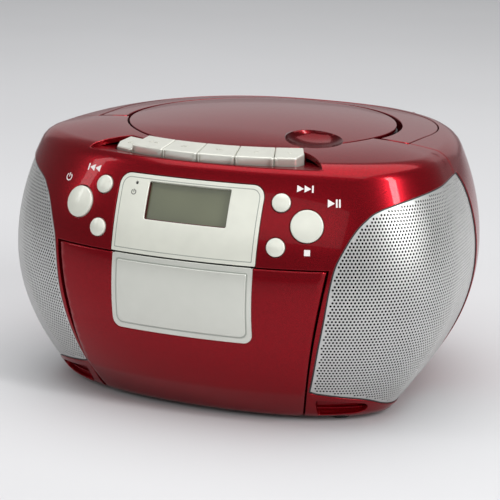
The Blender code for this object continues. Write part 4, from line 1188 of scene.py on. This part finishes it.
def door_surface(q, inset=0.0):
    """Surface map of the door: a crease low down and sides that roll in."""
    w = q[:, 1]
    rising = (w - LOW_W) / (CREASE_W - LOW_W)
    falling = (CREASE_TOP - w) / (CREASE_TOP - CREASE_W)
    rise = np.minimum(rising, falling)
    to_edge = np.interp(w, DOOR_EDGE[:, 1], DOOR_EDGE[:, 0]) - np.abs(q[:, 0])
    roll = np.clip(1 - to_edge / ROLL_WIDTH, 0, 1) ** 1.2 * ROLL_DROP
    return case_point(q, inset + roll - CREASE_OUT * np.clip(rise, 0, 1))


def build_door():
    """Cassette door, its window plate, the raised plateau on it, and a grey ring round the plateau painted
    as its groove's shadow line.
    """
    plate = front_rect(-46.6, 46.6, 56.0, SEAM_Z - 0.5, (6, 6, 0.3, 0.3), 2.0)
    border = grow(door_loop(0.0, EDGE_W + 1.5), -1.2)
    q, faces = triangulate(border, [grow(grow(plate, 0.3), 0.35)], 3.2)
    solid = thicken(door_surface(q), surface_normals(door_surface, q), faces, 1.2, 4.2, 4)
    slotted(skinned("door_panel", solid, RED), "door", "candy_red_plastic", "cassette_door")
    line = front_rect(-43.5, 43.5, 59.3, SEAM_Z - 3.5, (4.6, 4.6, 1.6, 1.6), 2.0)
    raised = front_rect(-42.6, 42.6, 60.2, SEAM_Z - 4.4, (4, 4, 1.2, 1.2), 2.0)
    for name, inset, outline, *look in (
        ("window_plate", 0.35, plate, PLATE, 0.5, 2.6, 4.0, 3),
        # Grey ring under the plateau's edge: painted shadow line of the groove.
        ("window_rim", 0.2, line, CLEAR_RIM_AND_SHADE_GREY, 0.2, 0.8, 4.0, 2),
        ("window_plateau", -0.15, raised, PLATE, 0.45, 1.0, 4.0, 3),
    ):
        piece = patch(name, lambda p: door_surface(p, inset), outline, [], *look)
        slotted(piece, "door", "pearl_plastic", "door_window")


# ----------------------------------------------------------- bezel, display
LAMP_AT = (-35.5, 145.2)


def build_bezel():
    """Display bezel with its window, and a fine grey ring laid on it."""
    border = front_rect(-47.5, 47.5, SEAM_Z + 0.4, 150.6, (0.6, 0.6, 7.4, 7.4))
    holes = [front_rect(-27.0, 27.0, 125.4, 147.0, 1, 1.6, 4), button_hole(*LAMP_AT, 0.9)]
    bezel = patch("bezel_panel", sunk(0.15), border, holes, PEARL, 0.5, 3.2, 3.0)
    slotted(bezel, "case", "pearl_plastic", "display_bezel")
    outer = front_rect(-45.4, 45.4, SEAM_Z + 2.6, 148.5, (0.6, 0.6, 5.6, 5.6))
    inner = front_rect(-44.8, 44.8, SEAM_Z + 3.2, 147.9, (0.4, 0.4, 5.0, 5.0))
    rim = patch("bezel_rim", sunk(0.08), outer, [inner], CLEAR_RIM_AND_SHADE_GREY, 0.1, 0.5, 4.0, 1)
    slotted(rim, "case", "pearl_plastic", "display_bezel")


def build_display():
    """Display glass with its dark surround, and the standby lamp's lens."""
    centre, normal = front_frame(0.0, 136.2)
    up = np.array([0.0, -normal[2], normal[1]])
    up *= np.sign(up[2])
    right = np.array([1.0, 0.0, 0.0])

    def plane(q):
        return centre + right * q[:, :1] + up * q[:, 1:2] - normal * 4.2

    edge = round_rect(-31.0, 31.0, -12.6, 12.6, 1, 3)
    glass = patch("display_glass", plane, edge, [], DISPLAY, 0.2, 3.0, 12.0)
    slotted(glass, "case", "lcd_glass", "lcd_module")
    outer = front_rect(-29.6, 29.6, 122.6, 149.2, 1, 1.6, 3)
    inner = front_rect(-26.8, 26.8, 125.6, 146.8, 0.9, 1.6, 4)
    surround = patch("display_surround", sunk(1.1), outer, [inner], DARK_RED_AND_SHADE, 0.1, 3.0, 6.0, 1)
    slotted(surround, "case", "dark_red_plastic", "display_bezel")
    profile = [(0, -3.2), (0.8, -3.2), (0.8, -0.5), (0.5, -0.25), (0, -0.2)]
    lens = lathe("standby_lens", profile, *front_frame(*LAMP_AT), GLOSS_BLACK, 20)
    slotted(lens, "case", "black_plastic", "display_bezel")


# -------------------------------------------------- buttons and keys
KEYS = ("pause", "stop_eject", "fast_forward", "rewind", "play", "record")
KEY_EDGES = (-25.6, -18.4, -9.2, 0.0, 9.2, 18.4, 25.6)      # degrees
KEY_MID_R = 142.0
KEY_FRONT_Z = 165.0
KEY_RISE = 3.6             # from the front edge of a key to its back edge
KEY_DEPTH = 16.0
KEY_FOOT = 148.0
PAUSE_DROP = 3.0           # the pause key is modelled pressed down


def build_buttons():
    """Domed caps and the backing that each one slides in front of."""
    for name, (x, z, r) in BUTTONS.items():
        centre, normal = front_frame(x, z)
        flat_r = r - 0.7
        profile = [(0, -6.0), (r, -6.0), (r, 0.5)]
        profile += [(flat_r + 0.7 * math.cos(a), 0.5 + 0.7 * math.sin(a)) for a in np.radians([22, 45, 68])]
        profile += [(flat_r * s, 1.2 + 0.8 * (1 - s ** 2)) for s in (1.0, 0.8, 0.6, 0.4, 0.2)]
        profile.append((0, 2.0))
        cap = lathe(name + "_cap", profile, centre, normal, PEARL, 56)
        slotted(cap, name + "_body", "pearl_plastic", name)
        profile = [(0, -10.6), (r + 2, -10.6), (r + 2, -9.2), (0, -9.2)]
        backing = lathe(name + "_backing", profile, centre, normal, BLACK, 32)
        slotted(backing, "case", "black_plastic", "front_cabinet")


def key_surface(drop):
    """Surface of the key tops over (arc length at mid radius, depth from the front)."""
    def surface(q):
        a = np.degrees(q[:, 0] / KEY_MID_R)
        z = KEY_FRONT_Z + KEY_RISE * q[:, 1] / KEY_DEPTH - drop
        return np.column_stack([key_plan(KEY_R_FRONT - q[:, 1], a), z])
    return surface


def triangle(x0, x1, half):
    """Flat arrow head from its base at x0 to its point at x1."""
    return [(x0, -half), (x1, 0.0), (x0, half)]


def bar(x0, x1, half):
    """Upright rectangle from x0 to x1."""
    return [(x0, -half), (x1, -half), (x1, half), (x0, half)]


ICONS = {
    "pause": [bar(-1.5, -0.5, 1.6), bar(0.5, 1.5, 1.6)],
    "stop_eject": [
        bar(-4.4, -1.6, 1.4), [(1.2, -0.5), (4.4, -0.5), (2.8, 1.6)],
        [(1.2, -1.5), (4.4, -1.5), (4.4, -1.0), (1.2, -1.0)],
    ],
    "fast_forward": [triangle(-2.6, 0.0, 1.5), triangle(0.1, 2.7, 1.5)],
    "rewind": [triangle(2.6, 0.0, 1.5), triangle(-0.1, -2.7, 1.5)],
    "play": [triangle(-1.3, 1.6, 1.6)],
    "record": [circle(0, 0, 1.5, 16)],
}


def key_outline(a0, a1, first, last):
    """Outline of a key; the outer corners of the first and last are cut off."""
    corner, deep, small = 5.2, 6.6, 0.5
    left = (corner, deep) if first else (small, small)
    right = (corner, deep) if last else (small, small)
    return dense([
        (a0 + left[0], 0.0), (a1 - right[0], 0.0), (a1, right[1]),
        (a1, KEY_DEPTH), (a0, KEY_DEPTH), (a0, left[1]),
    ], 1.5)


def build_keys():
    """The six key caps and the marks on them."""
    for index, name in enumerate(KEYS):
        a0 = math.radians(KEY_EDGES[index]) * KEY_MID_R + 0.15
        a1 = math.radians(KEY_EDGES[index + 1]) * KEY_MID_R - 0.15
        surface = key_surface(PAUSE_DROP if name == "pause" else 0.0)
        border = key_outline(a0, a1, index == 0, index == 5)
        foot = lambda p: np.full(len(p), KEY_FOOT)
        cap = patch(name + "_key_cap", surface, border, [], SILVER, 1.0, 8.0, 2.2, 4, foot)
        slotted(cap, name + "_key_body", "silver_plastic", name + "_key")
        for count, shape in enumerate(ICONS[name]):
            at = ccw(np.array(shape) * 0.8 + [(a0 + a1) / 2, 8.2])
            label = "%s_key_mark_%d" % (name, count)
            mark = patch(label, lambda q: surface(q) + [0, 0, 0.3], at, [], SILVER, 0.08, 0.4, 2.0, 1)
            slotted(mark, name + "_key_body", "silver_plastic", name + "_key")


# ------------------------------------------------------- printed symbols
def arc_band(radius, width, start, end):
    """Band of a width along an arc between two angles in degrees."""
    t = np.radians(np.linspace(start, end, 20))
    way = np.stack([np.cos(t), np.sin(t)], -1)
    return np.concatenate([(radius + width / 2) * way, ((radius - width / 2) * way)[::-1]])


def power_mark(radius, width):
    """Broken ring with an upright bar."""
    half = radius * 0.62
    return [arc_band(radius, width, 120, 420), bar(-width / 2, width / 2, half) + np.array([0, half])]


def print_symbol(name, at, shapes, mat=WHITE_PRINT, slot="pearl_plastic", lift=0.03):
    """Thin printed shapes on the front at x, z; shapes are in millimetres."""
    centre = from_front([at])[0]
    for count, shape in enumerate(shapes):
        q = in_millimetres(centre, dense(ccw(shape), 0.8))
        mark = patch("%s_%d" % (name, count), sunk(-lift), q, [], mat, 0.02, 0.12, 1.5, 1)
        slotted(mark, "case", slot)


def build_symbols():
    """Symbols beside the buttons and the standby lamp."""
    back = [bar(-5.0, -4.0, 2.2), triangle(0.4, -3.6, 2.2), triangle(4.8, 0.8, 2.2)]
    forward = [triangle(-4.8, -0.8, 2.2), triangle(-0.4, 3.6, 2.2), bar(4.0, 5.0, 2.2)]
    play = [triangle(-3.8, 0.4, 2.5), bar(1.0, 2.0, 2.5), bar(2.8, 3.8, 2.5)]
    print_symbol("skip_back_symbol", (-68.8, 149.8), back)
    print_symbol("skip_forward_symbol", (70.4, 149.9), forward)
    print_symbol("play_pause_symbol", (88.0, 142.4), play)
    print_symbol("stop_symbol", (77.0, 114.4), [bar(-1.8, 1.8, 1.8)])
    print_symbol("power_symbol", (-87.6, 141.8), power_mark(2.2, 0.7))
    standby = power_mark(1.5, 0.45)
    print_symbol("standby_symbol", (-36.6, 139.9), standby, GREY_PRINT, "black_plastic", 0.0)


# ------------------------------------------------------- lid and handle
def build_lid():
    """Domed lid with the bite of the finger dish, and the boss under it."""
    edge = circle(0, LID_Y, LID_R, 220)
    lid = patch("disc_lid", over_plan(lid_z), edge, [ccw(dish_rim(96))], RED, 0.6, 2.6, 4.0, 4)
    slotted(lid, "lid", "candy_red_plastic", "cd_lid")
    profile = [(0, 162.4), (13.2, 162.4), (14, 163.2), (14, 171.0), (0, 171.0)]
    boss = lathe("lid_boss", profile, (0, LID_Y, 0), (0, 0, 1), RED, 64)
    slotted(boss, "lid", "candy_red_plastic", "cd_lid")


HANDLE_FRONT = -23.0
HANDLE_UNDER = 153.9
HINGE_Y = -16.4
HINGE_Z = 160.4
HINGE_R = 6.7


def handle_floor(p):
    """Underside of the handle: level, and round the hinge axis in front of it."""
    ahead = np.clip(HINGE_Y - p[:, 1], 0, HINGE_R - 0.05)
    round_end = HINGE_Z - np.sqrt(HINGE_R ** 2 - ahead ** 2)
    return np.where(p[:, 1] < HINGE_Y, round_end, HANDLE_UNDER)


def build_handle():
    """The handle, a bar between its outer edge and the ring round the lid."""
    drop = math.asin((HANDLE_FRONT - LID_Y) / HANDLE_IN_R)
    inner = lid_ring(HANDLE_IN_R, math.pi - drop, drop, 120)
    border = ccw(np.concatenate([handle_arc(0.0, HANDLE_FRONT), inner]))
    surface = over_plan(lambda q: crown_z(q) - 0.2)
    grip = patch("handle_bar", surface, border, [], RED, 0.7, 9.0, 3.4, 4, handle_floor)
    slotted(grip, "handle_body", "candy_red_plastic", "handle")


build_shells()
build_underside()
build_pocket()
build_key_recess()
build_dish()
build_foot_slots()
build_ledge()
for label, side in SIDES.items():
    build_grille(label, side)
build_door()
build_bezel()
build_display()
build_buttons()
build_keys()
build_symbols()
build_lid()
build_handle()


# ------------------------------------------------------- CAD pieces kept
BY_NODE = {
    BLACK: (
        "cd_deck", "cassette_holder", "tape_chassis", "left_speaker_frame", "right_speaker_frame",
        "laser_sled", "supply_reel", "takeup_reel", "ac_inlet", "volume_wheel", "tuning_wheel",
        "function_switch", "antenna_pivot", "motor_pulley", "cd_spindle_hub",
    ),
    RED: ("battery_door",),
    STEEL: (
        "left_handle_pin", "right_handle_pin", "spindle_motor", "tape_motor", "tape_head",
        "antenna_tube", "antenna_rod", "power_transformer",
    ),
    BRASS: ("capstan_flywheel",),
    FERRITE: ("left_speaker_magnet", "right_speaker_magnet"),
    PAPER: ("left_speaker_cone", "right_speaker_cone"),
    RUBBER: (
        "pinch_roller", "drive_belt", "front_left_foot", "front_right_foot", "rear_left_foot",
        "rear_right_foot",
    ),
    BOARD: ("main_circuit_board",),
}
for finish, node_names in BY_NODE.items():
    for node_name in node_names:
        for material_slot in bpy.data.objects[node_name].material_slots:
            material_slot.material = finish


# --------------------------------------------------- floor, light, camera
FLOOR_HALF = 20.0
AIM = (0, 0, 0.1)
LIGHTS = {                 # centre, target, size, watts
    "top_box": ((0.0, 0.1, 2.0), (0, 0, 0.0), (2.4, 2.4), 40),
    "back_box": ((-0.9, 2.2, 1.0), AIM, (3.4, 1.5), 5.2),
    "left_box": ((-1.7, -0.9, 1.1), AIM, (0.18, 1.0), 3),
    "right_box": ((1.6, -0.6, 1.2), AIM, (0.2, 1.0), 16),
    "front_box": ((-0.15, -1.7, 1.0), AIM, (2.6, 0.7), 5.5),
    "right_fill": ((2.0, -0.5, 0.5), AIM, (0.9, 0.7), 7),
}
CAMERA_AT = (0.4386, -1.08045, 0.3862)
CAMERA_RIGHT = (0.9238, 0.3827, 0.0145)
CAMERA_UP = (-0.1097, 0.2281, 0.9674)
CAMERA_LENS = 131.02


def placed(name, data):
    """A new object in the scene."""
    obj = bpy.data.objects.new(name, data)
    bpy.context.scene.collection.objects.link(obj)
    return obj


def soft_box(name, centre, target, size, power):
    """Rectangular area light aimed at a target."""
    light = bpy.data.lights.new(name, "AREA")
    light.shape = "RECTANGLE"
    light.size, light.size_y = size
    light.energy = power
    obj = placed(name, light)
    obj.location = centre
    obj.rotation_euler = (Vector(target) - Vector(centre)).to_track_quat("-Z", "Y").to_euler()


def build_floor():
    """Wide matt studio floor."""
    mat, tree, bsdf = shader("studio_floor", (0.64, 0.64, 0.65), 0.9, specular=0.05)
    color = ramp(tree, noise(tree, 2.0, 2.0), (0.63, 0.63, 0.64), (0.65, 0.65, 0.66))
    tree.links.new(color, bsdf.inputs["Base Color"])
    mesh = bpy.data.meshes.new("floor")
    corners = [(x * FLOOR_HALF, y * FLOOR_HALF, 0) for x, y in ((-1, -1), (1, -1), (1, 1), (-1, 1))]
    mesh.from_pydata(corners, [], [(0, 1, 2, 3)])
    mesh.materials.append(mat)
    placed("floor", mesh)


def build_studio():
    """World light, the soft boxes and the view transform."""
    world_data = bpy.data.worlds.new("studio")
    world_data.use_nodes = True
    background = world_data.node_tree.nodes["Background"]
    background.inputs["Color"].default_value = (0.92, 0.93, 0.95, 1)
    background.inputs["Strength"].default_value = 0.30
    bpy.context.scene.world = world_data
    for name, settings in LIGHTS.items():
        soft_box(name, *settings)
    bpy.context.scene.view_settings.view_transform = "Standard"


def build_camera():
    """Camera from its place, its right and its up direction."""
    data = bpy.data.cameras.new("camera")
    data.lens = CAMERA_LENS
    data.sensor_width = 36.0
    camera = placed("camera", data)
    right = Vector(CAMERA_RIGHT).normalized()
    back = right.cross(Vector(CAMERA_UP).normalized())
    turn = Matrix((right, back.cross(right), back)).transposed()
    camera.matrix_world = Matrix.Translation(CAMERA_AT) @ turn.to_4x4()
    bpy.context.scene.camera = camera


build_floor()
build_studio()
build_camera()
